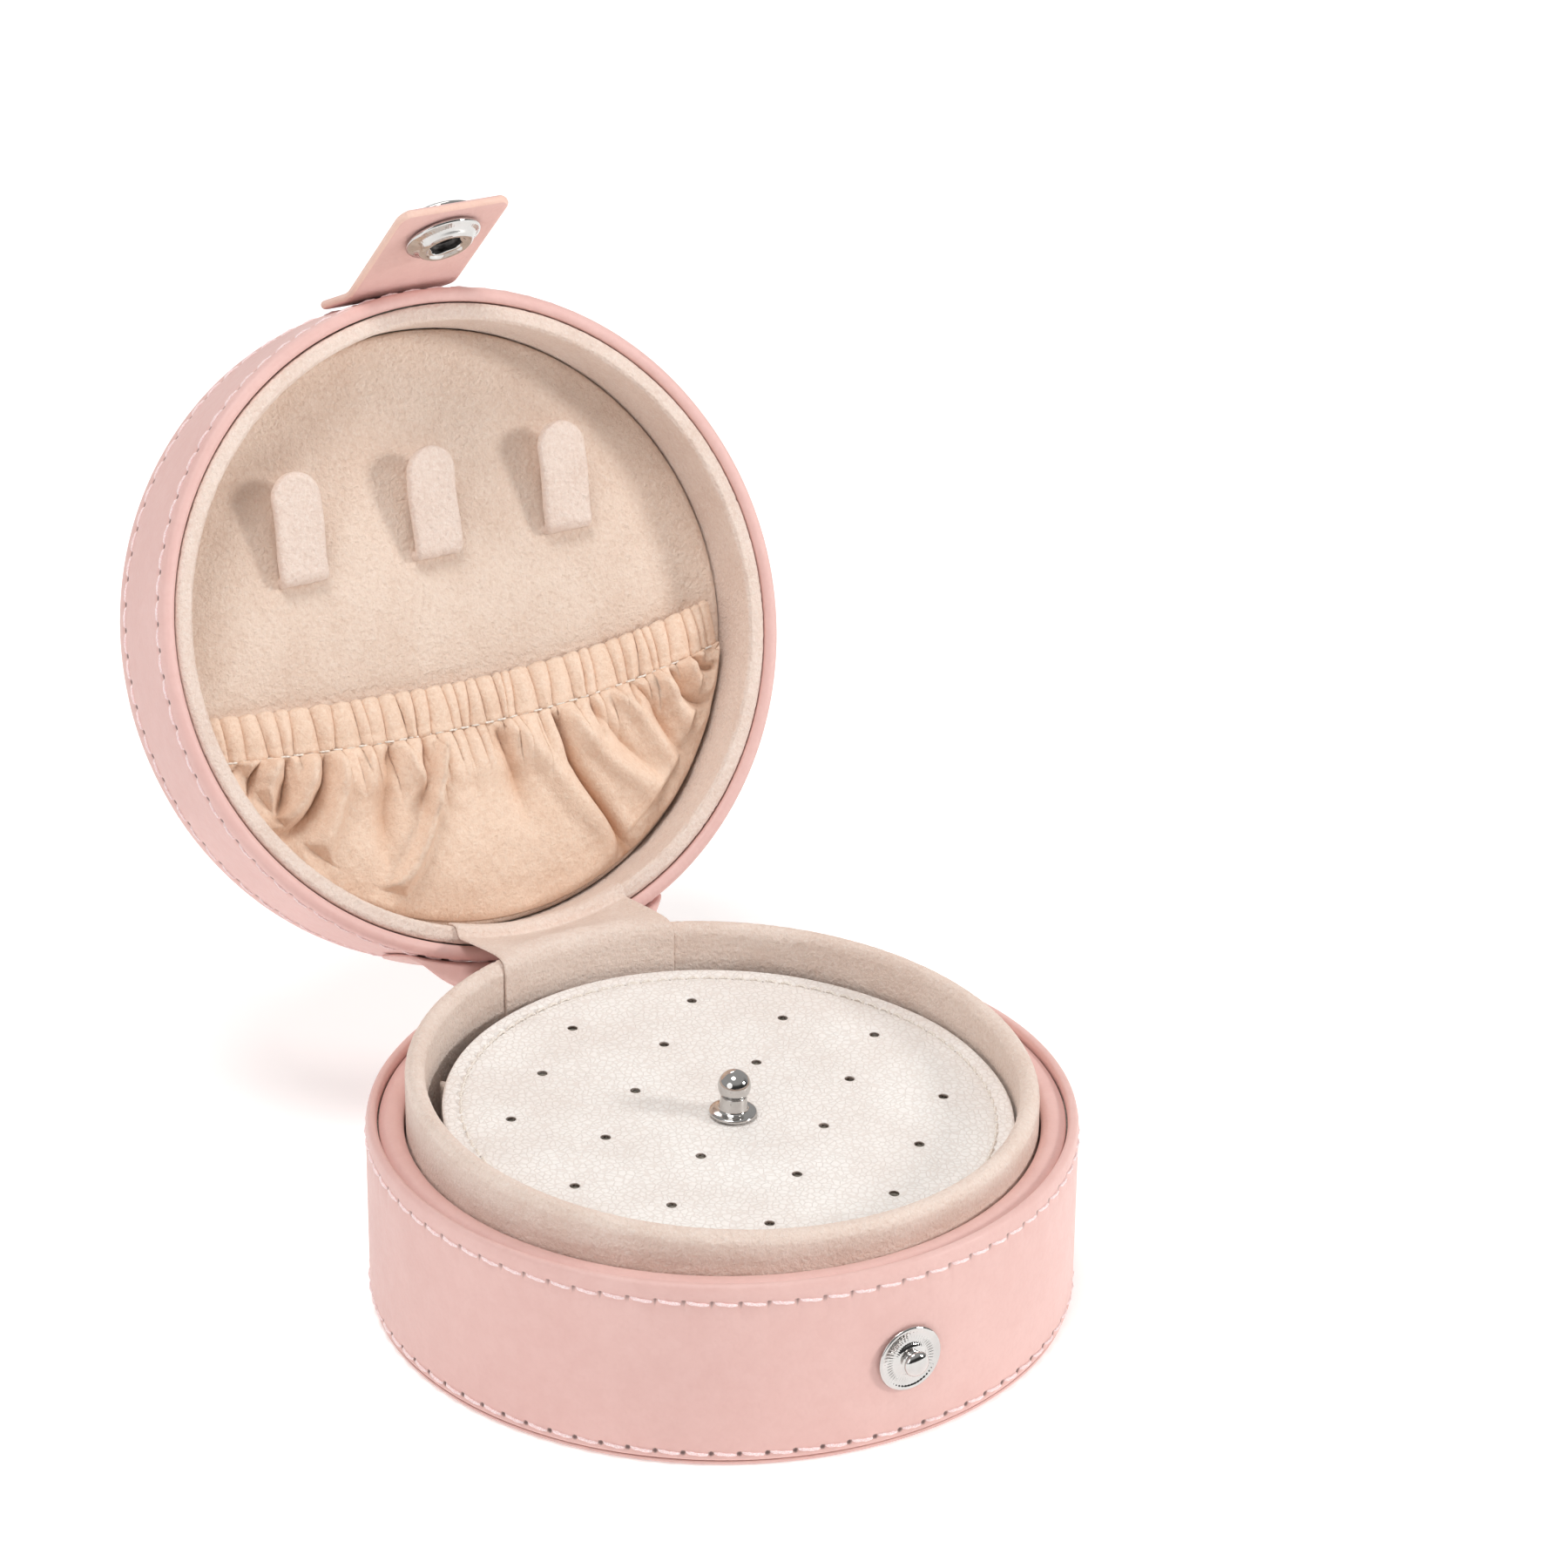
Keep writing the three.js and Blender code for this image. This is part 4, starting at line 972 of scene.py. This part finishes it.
def lid_lining():
    out, inn, low = RING_OUT_R, RING_IN_R, LID_RIM_Z + 0.2
    profile = rounded([
        (inn, PANEL_Z + 1.9), (inn, low + 0.5), (inn + 0.5, low), (out - 0.5, low), (out, low + 0.5),
        (out, low + 2.5), (out - 0.45, low + 2.5), (out - 0.45, low + 0.6), (inn + 0.5, low + 0.6),
        (inn + 0.5, PANEL_Z + 1.9),
    ], 0.45, loop=True)
    profile = spaced(profile, 0.8, [(low, low + 3, 0.4)], loop=True)

    def nap(theta, r, z):
        place = around(theta, r, z)
        field = 0.04 * wobble(place, 1.1, 41)
        return np.abs(field) * np.where(r < inn + 0.3, 1, -1), np.abs(field) * (z < low + 0.3), 0.0

    revolve("lid_ring", profile, 640, VELVET, change=nap, body="lid", stands_for=["lid_ring_velvet"])
    r = PANEL_R + 0.4
    panel = [(0, PANEL_Z)] + [(k, PANEL_Z) for k in np.arange(1.5, r - 1.2, 1.5)]
    panel += [(r - 1.0, PANEL_Z + 0.02), (r - 0.5, PANEL_Z + 0.16), (r - 0.15, PANEL_Z + 0.5),
              (r, PANEL_Z + 1.1), (r, PANEL_Z + 1.9), (r - 0.4, PANEL_Z + 1.9), (r - 0.4, PANEL_Z + 0.65),
              (0, PANEL_Z + 0.65)]

    def felt(theta, r, z):
        place = around(theta, r, z)
        return 0.0, np.maximum(0.05 * wobble(place, 9, 43), 0) * (z < PANEL_Z + 0.3), 0.0

    revolve("lid_panel", rounded(panel, 0.2, 3), 360, PANEL, loop=False, change=felt, body="lid",
            stands_for=["lid_panel_velvet"])


def hooks():
    for side in ("left", "middle", "right"):
        lo, hi = span("hook_" + side, lid=True)
        x, half_w = (lo[0] + hi[0]) / 2, (hi[0] - lo[0]) / 2
        root, tip = hi[1], lo[1]
        length = root - tip
        line = rounded([(0.65, -0.25), (0.6, 1.6), (2.6, 1.95), (length * 0.5, 3.2), (length, 5.1)], 1.6, 9)
        seg = lengths(line)
        thick = 1.55
        total = seg[-1]
        tip_share = 1 - np.sin(np.linspace(0, math.pi / 2, 14))
        at = np.concatenate([np.linspace(0, total - half_w, 34), total - half_w * tip_share[1:]])
        d, off = np.interp(at, seg, line[:, 0]), np.interp(at, seg, line[:, 1])
        rows, halves = [], []
        for s, dd, oo in zip(at, d, off):
            past = max(0.0, s - (total - half_w)) / half_w
            width = max(half_w * math.sqrt(max(0.0, 1 - past ** 2)), 0.01)
            share = edge_spaced(1.0, min(0.5, thick / half_w), 26)
            xs = share * width
            lean = 0.12 * np.sin(s * 0.5 + x)
            rows.append(np.stack([x + xs + lean, 0 * xs + (root - dd), 0 * xs + (PANEL_Z - oo)], -1))
            room = np.minimum((width - np.abs(xs)), (total - s) if past > 0 else 9)
            halves.append(edge_falloff(room * 1.1, thick) if s > 0 else edge_falloff(room, thick))
        rows, halves = np.array(rows), np.array(halves)
        halves = halves * (1 + 0.05 * wobble(rows, 1.2, 51))
        halves[:, [0, -1]] = 0
        halves[-1] = 0
        slab("hook_strip_" + side, rows, halves, VELVET, body="lid", stands_for=["hook_" + side])


MOUTH_REACH = span("pocket_hem", lid=True)[1][0]
HEM_H = 6.3


def mouth_y(x):
    """The lower edge of the elastic's casing."""
    share = np.asarray(x) / 42.5
    return 8.6 - 3.4 * share ** 2 - 0.9 * share ** 3


def gathers(u, seed, count):
    """Uneven ruffles along the elastic: rounded ridges with sharp valleys, from 0 to 1."""
    rng = np.random.default_rng(seed)
    widths = rng.uniform(0.6, 1.5, count)
    stops = np.concatenate([[0], np.cumsum(widths)]) / widths.sum() * 2 - 1
    index = np.clip(np.searchsorted(stops, u, side="right") - 1, 0, count - 1)
    phase = (u - stops[index]) / (stops[index + 1] - stops[index])
    height = rng.uniform(0.7, 1.0, count)[index]
    return height * np.abs(np.sin(math.pi * phase)) ** 0.55


def hem_lift(u):
    """How far the elastic stands off the panel, as it is stretched over the pocket's belly."""
    return 0.35 + 1.25 * (1 - np.asarray(u) ** 2)


def pocket_hem(us, ridge):
    """The elastic's casing: up the back, over the mouth's edge, and down the front past the stitched line."""
    x, lift = MOUTH_REACH * us, hem_lift(us)
    slant = (0.5 * np.sin(us * 37) + 0.35 * np.sin(us * 83 + 1)) * (1 - us ** 8)
    rows, crease = [], []
    for v in np.linspace(1, 0.04, 9):
        y = mouth_y(x) + HEM_H * v
        rows.append(np.stack([x, y + 0.25, PANEL_Z - lift + 0.12 - 0.25 * ridge * (1 - v)], -1))
        crease.append(np.zeros_like(x))
    for v in np.concatenate([np.linspace(0.0, 0.12, 4), np.linspace(0.16, 1.12, 26)]):
        swell = math.sin(math.pi * min(max(v, 0.1), 0.78)) ** 0.45
        under = smoothstep((v - 0.94) / 0.14)
        y = mouth_y(x) + HEM_H * v - 0.6 * ridge * max(0.0, 1 - v * 1.6) ** 2
        height = lift + 0.45 + 0.55 * swell + 1.2 * ridge * swell + 0.25 * ridge
        height = height + (lift + 0.8 + 0.4 * ridge - height) * under
        height = height * (1 - 0.5 * smoothstep((np.abs(us) - 0.93) / 0.07))
        rows.append(np.stack([x + slant * v, y, PANEL_Z - height], -1))
        # painted shade in the valleys between gathers
        crease.append(0.5 * (1 - ridge) ** 1.5)
    return np.array(rows), np.array(crease)


# Each large fold: its place along the elastic, drift by the lower edge, width, height and reach down.
FOLDS = [
    (-0.95, -0.02, 0.022, 1.6, 1.10), (-0.88, -0.06, 0.022, 1.9, 1.10), (-0.79, -0.10, 0.022, 2.1, 1.15),
    (-0.655, -0.19, 0.022, 2.3, 1.25), (-0.565, -0.12, 0.022, 2.2, 1.20), (-0.47, -0.08, 0.024, 1.2, 0.50),
    (-0.33, 0.20, 0.020, 1.7, 0.50), (-0.15, -0.35, 0.018, 2.7, 1.55), (0.075, 0.42, 0.040, 1.7, 1.30),
    (0.31, 0.33, 0.032, 2.1, 1.20), (0.52, 0.21, 0.026, 1.9, 1.10), (0.69, 0.15, 0.024, 2.0, 1.10),
    (0.83, 0.08, 0.022, 1.9, 1.10), (0.94, 0.02, 0.020, 1.7, 1.10),
]
CREASES = [
    (-0.92, -0.04, 0.016, 1.6, 1.00), (-0.84, -0.08, 0.018, 1.8, 1.05), (-0.73, -0.11, 0.018, 2.0, 1.15),
    (-0.60, -0.20, 0.018, 2.2, 1.25), (-0.385, -0.10, 0.040, 2.0, 0.90), (-0.225, -0.19, 0.018, 1.9, 0.55),
    (0.03, 0.11, 0.040, 1.9, 0.65), (0.262, 0.18, 0.016, 3.2, 1.60), (0.42, 0.24, 0.022, 1.3, 0.95),
    (0.605, 0.15, 0.022, 1.9, 1.10), (0.755, 0.11, 0.018, 1.9, 1.10), (0.89, 0.04, 0.016, 1.7, 1.05),
]


def fold_shape(us, v, lines, sharp):
    """The summed folds at share v of the way down, in mm."""
    total = np.zeros_like(us)
    for place, drift, width, tall, reach in lines:
        middle = place + drift * v + 0.012 * math.sin(v * 6 + place * 11)
        wide = width * (0.85 + 0.75 * v)
        fade = float(smoothstep((v + 0.02) / 0.12) * (1 - smoothstep((v - 0.45 * reach) / (0.55 * reach))))
        total += tall * fade * np.exp(-np.abs((us - middle) / wide) ** sharp)
    return total


def pocket_body(us, ridge, ridge2):
    """The cloth below the stitched line, whose folds fan out and fade before its lower edge."""
    rim = PANEL_R - 0.4
    top_x = MOUTH_REACH * us
    top_y = mouth_y(top_x) + HEM_H
    reach = np.sqrt(np.maximum(rim ** 2 - top_y ** 2, 1))
    top_x = np.clip(top_x, -reach, reach)
    left, right = math.atan2(top_y[0], top_x[0]), math.atan2(top_y[-1], top_x[-1])
    fan = (us + 1) / 2
    angle = left + (right - left) * (fan + 0.05 * np.sin(2 * math.pi * fan))
    foot_x, foot_y = rim * np.cos(angle), rim * np.sin(angle)
    rows, crease = [], []
    for v in np.linspace(0, 1, 84):
        x = top_x + (foot_x - top_x) * v
        y = top_y + (foot_y - top_y) * v
        belly = 3.3 * math.sin(math.pi * min(1, 0.16 + 0.84 * v)) ** 0.8 * (1 - np.abs(us) ** 3.2)
        height = 0.6 + (hem_lift(us) + 0.45) * (1 - smoothstep(v / 0.35)) + belly * smoothstep(v / 0.25)
        height = height + ridge * 1.3 * (1 - smoothstep(v / 0.34)) * (0.6 + 0.4 * smoothstep(v / 0.02))
        height = height + ridge2 * 1.2 * smoothstep(v / 0.08) * (1 - smoothstep((v - 0.12) / 0.36))
        valley = fold_shape(us, v, CREASES, 1.35)
        height = height + fold_shape(us, v, FOLDS, 2.0) - valley
        radius = np.hypot(x, y)
        limit = np.interp(radius, [36.5, 40.0, 41.1, 45.0], [7.5, 4.0, 1.9, 1.5])
        height = np.minimum(height, limit)
        height = np.maximum(height, 0.5) * (1 - 0.5 * smoothstep((v - 0.96) / 0.04))
        rows.append(np.stack([x, y, PANEL_Z - height], -1))
        # painted shade in the gathers' valleys near the top and in the fold valleys
        fine = 0.5 * (1 - ridge) ** 1.5 * (1 - smoothstep(v / 0.24))
        crease.append(np.clip(fine + 0.3 * valley, 0, 1))
    rows = np.array(rows)
    rows[..., 2] += 0.04 * wobble(rows, 3.0, 66)
    return rows, np.array(crease)


def thin(rows, thickness=0.44):
    """Half thickness of a cloth, nothing at its border."""
    half = np.full(rows.shape[:2], thickness / 2)
    half[0] = half[-1] = 0
    half[:, 0] = half[:, -1] = 0
    return half


def pocket():
    """The gathered pocket: an elastic hem, the cloth below it, and the stitching between them."""
    us = np.linspace(-1, 1, 500)
    ridge, ridge2 = gathers(us, 61, 35), gathers(us, 62, 17)
    rows, crease = pocket_hem(us, ridge)
    hem = slab("pocket_hem_band", rows, thin(rows), POCKET, crease=crease, body="lid",
               stands_for=["pocket_hem"])
    rows, crease = pocket_body(us, ridge, ridge2)
    cloth = slab("pocket_cloth", rows, thin(rows), POCKET, crease=crease, body="lid", stands_for=["pocket"])
    at = np.linspace(-0.97, 0.97, 41)
    off = hem_lift(at) + 1.2 + 0.75 * np.interp(at, us, ridge)
    holes = np.stack([MOUTH_REACH * at, mouth_y(MOUTH_REACH * at) + HEM_H, PANEL_Z - off], -1)
    down = np.tile([0.0, 0.0, -1.0], (len(at), 1))
    seam = thread_run("pocket_stitches", holes, down, CREAM_THREAD, 0.15, 0.22, 0.05,
                      body="lid", slot="pocket_velvet")


# Soft hinge

def strip_grid(stops, radius, corner, count):
    """Rounded lines through rows of stops, one line a column, as a grid of count rows."""
    columns = []
    for k in range(len(stops[0])):
        line = rounded([stop[k] for stop in stops], radius, corner)
        seg = lengths(line)
        at = np.linspace(0, seg[-1], count)
        columns.append(np.stack([np.interp(at, seg, line[:, i]) for i in range(3)], -1))
    return np.stack(columns, 1)


def hinge_inner():
    """The velvet strip from inside the collar, over its top and across to the open lid's ring."""
    thick = 0.42
    xs = edge_spaced(STRIP_HALF_W, thick, 50)
    h = thick / 2
    face = LID_RIM_Z - 0.05 - h

    def base_point(r, z):
        return np.stack([xs, np.sqrt(r * r - xs * xs), z + 0 * xs], -1)

    def lid_point(r, z):
        return opened(base_point(r, z))

    top = COLLAR_Z + rise(xs, COLLAR_R - 1.5)
    stops = [
        base_point(COLLAR_IN_R - 0.08 - h, 20.3), base_point(COLLAR_IN_R - 0.08 - h, top - 1.1),
        base_point(COLLAR_IN_R + 0.35, top - 0.05 + h),
        base_point((COLLAR_IN_R + COLLAR_R) / 2, top + 0.15 + h),
        base_point(COLLAR_R - 0.1, top + 0.08 + h), lid_point(RING_OUT_R - 0.9, face),
        lid_point(RING_IN_R + 0.2, face), lid_point(RING_IN_R - 0.06 - h, LID_RIM_Z + 1.0),
        lid_point(RING_IN_R - 0.06 - h, LID_RIM_Z + 2.6),
    ]
    middle = strip_grid(stops, 0.9, 7, 110)
    share = np.linspace(0, 1, len(middle))[:, None]
    free = np.exp(-((share - 0.66) / 0.12) ** 2)
    middle[..., 2] += free * (0.10 * np.sin(xs[None] * 0.9 + 1) - 0.12 * (1 - (xs[None] / STRIP_HALF_W) ** 2))
    side = np.minimum(STRIP_HALF_W - np.abs(xs)[None], 9) + 0 * share
    ends = np.minimum(share, 1 - share) * 46
    half = edge_falloff(np.minimum(side, ends), thick)
    made = slab("hinge_velvet", middle, half, VELVET, stands_for=["hinge_strip_inner"])
    end = Vector(opened([0, RING_OUT_R - 1.0, LID_RIM_Z - 0.2])) * MM
    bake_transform(made)


def hinge_outer():
    """The leatherette strap over the seam at the back, folded where the lid turns."""
    thick = 0.75
    low, high = span("hinge_strap_outer")[0], span("hinge_strap_outer")[1]
    base_half, lid_half = 14.0, high[0]
    r = OUTER_R + 0.1 + thick / 2
    shares = edge_spaced(1.0, thick / lid_half, 60)

    def on_base(z, half=base_half):
        xs = shares * half
        return np.stack([xs, np.sqrt(r * r - xs * xs), np.full_like(xs, z)], -1)

    def on_lid(z, half):
        return opened(on_base(z, half))

    a = on_base(BASE_RIM_Z - 1.2)
    b = on_lid(LID_RIM_Z + 1.5, lid_half - 1)
    away = np.array([0, 0.54, -0.84])
    fold = (a + b) / 2 + away * 1.1
    stops = [on_base(low[2] + 0.3), on_base(BASE_RIM_Z - 4), a, fold, b, on_lid(LID_RIM_Z + 5, lid_half),
             on_lid(LID_RIM_Z + 10.8, lid_half)]
    middle = strip_grid(stops, 1.8, 9, 90)
    share = np.linspace(0, 1, len(middle))[:, None]
    side = (1 - np.abs(shares))[None] * base_half + 0 * share
    ends = np.minimum(share, 1 - share) * 26
    made = slab("hinge_leather", middle, edge_falloff(np.minimum(side, ends), thick), PINK,
                stands_for=["hinge_strap_outer"])
    end = Vector(opened([0, OUTER_R, LID_RIM_Z + 1.5])) * MM
    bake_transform(made)


# Stage, light and camera

def studio():
    """A pale room, dark at eye level towards the front, for the metal to mirror."""
    world = bpy.data.worlds.new("studio")
    room = Nodes(world)
    direction = room.add("TexCoord", {}, "Generated")
    behind = room.ramp(room.add("SeparateXYZ", {0: direction}, "Y"), -0.55, 0.1)
    above = room.ramp(room.add("SeparateXYZ", {0: direction}, "Z"), 0.3, 0.6)
    share = room.math("MAXIMUM", behind, above)
    strength = room.add("MapRange", {"Value": share, "To Min": 0.05, "To Max": 0.42})
    room.put(room.tree.nodes["Background"], "Color", (1.0, 0.995, 0.985, 1))
    room.put(room.tree.nodes["Background"], "Strength", strength)
    return world


def stage():
    """The floor, the world and the lamps: (name, place in metres, size, power, tint)."""
    look = Look("floor_look")
    grain = look.noise(60, 2.0)
    tone = look.mix(grain, (0.93, 0.93, 0.93, 1), (0.96, 0.96, 0.955, 1))
    pale = look.finish(Base_Color=tone, Roughness=0.9, Specular_IOR_Level=0.1, Emission_Color=(1, 1, 1, 1),
                       Emission_Strength=0.3)
    reach, level = 3000, -0.05
    corners = [(-reach, -reach, level), (reach, -reach, level), (reach, reach, level), (-reach, reach, level)]
    piece("floor", corners, [[0, 1, 2, 3]], pale)
    bpy.context.scene.world = studio()
    lamps = [
        ("key", (0.95, -0.8, 0.5), 0.3, 8.0, (1.0, 0.99, 0.975)),
        ("top", (-0.25, -0.15, 1.2), 0.5, 6.6, (1.0, 0.995, 0.985)),
        ("fill", (-1.0, -0.45, 0.45), 0.8, 2.3, (0.995, 0.995, 1.0)),
        ("back", (0.2, 1.0, 0.8), 0.6, 2.2, (1.0, 0.99, 0.98)),
    ]
    aim = Vector((0, 0.02, 0.05))
    for name, place, size, power, tint in lamps:
        data = bpy.data.lights.new(name, "AREA")
        data.shape = "DISK"
        data.size = size
        data.energy = power
        data.color = tint
        lamp = bpy.data.objects.new(name, data)
        lamp.location = place
        lamp.rotation_euler = (aim - Vector(place)).to_track_quat("-Z", "Y").to_euler()
        bpy.context.scene.collection.objects.link(lamp)
    bpy.context.scene.view_settings.view_transform = "Standard"


def camera():
    azimuth, elevation, roll = (math.radians(a) for a in (-30.81, 24.98, 0.709))
    target, distance = Vector((-0.246, -16.109, 83.861)) * MM, 0.64475
    back = Vector((math.sin(azimuth) * math.cos(elevation), -math.cos(azimuth) * math.cos(elevation),
                   math.sin(elevation)))
    right = (-back).cross(Vector((0, 0, 1))).normalized()
    up = right.cross(-back)
    x = right * math.cos(roll) + up * math.sin(roll)
    y = up * math.cos(roll) - right * math.sin(roll)
    data = bpy.data.cameras.new("camera")
    data.sensor_width = 36
    data.lens = 111.45
    data.clip_start, data.clip_end = 0.01, 20
    made = bpy.data.objects.new("camera", data)
    turn = Matrix((x, y, back)).transposed().to_4x4()
    made.matrix_world = Matrix.Translation(target + back * distance) @ turn
    bpy.context.scene.collection.objects.link(made)
    bpy.context.scene.camera = made


def hidden_parts():
    """CAD nodes that stay get a finish of their own."""
    looks = {"board": BOARD, "foam": FOAM, "elastic": ELASTIC, "metal": NICKEL}
    for name, node in frame["nodes"].items():
        if SLOTS.get(name) in looks:
            node.data.materials.clear()
            node.data.materials.append(looks[SLOTS[name]])


camera()
stage()
hidden_parts()
base_wall()
base_inside()
collar()
tray()
plate()
knob()
snap_stud()
lid_wall()
lid_top()
lid_lining()
hooks()
pocket()
strap()
strap_metal()
hinge_inner()
hinge_outer()
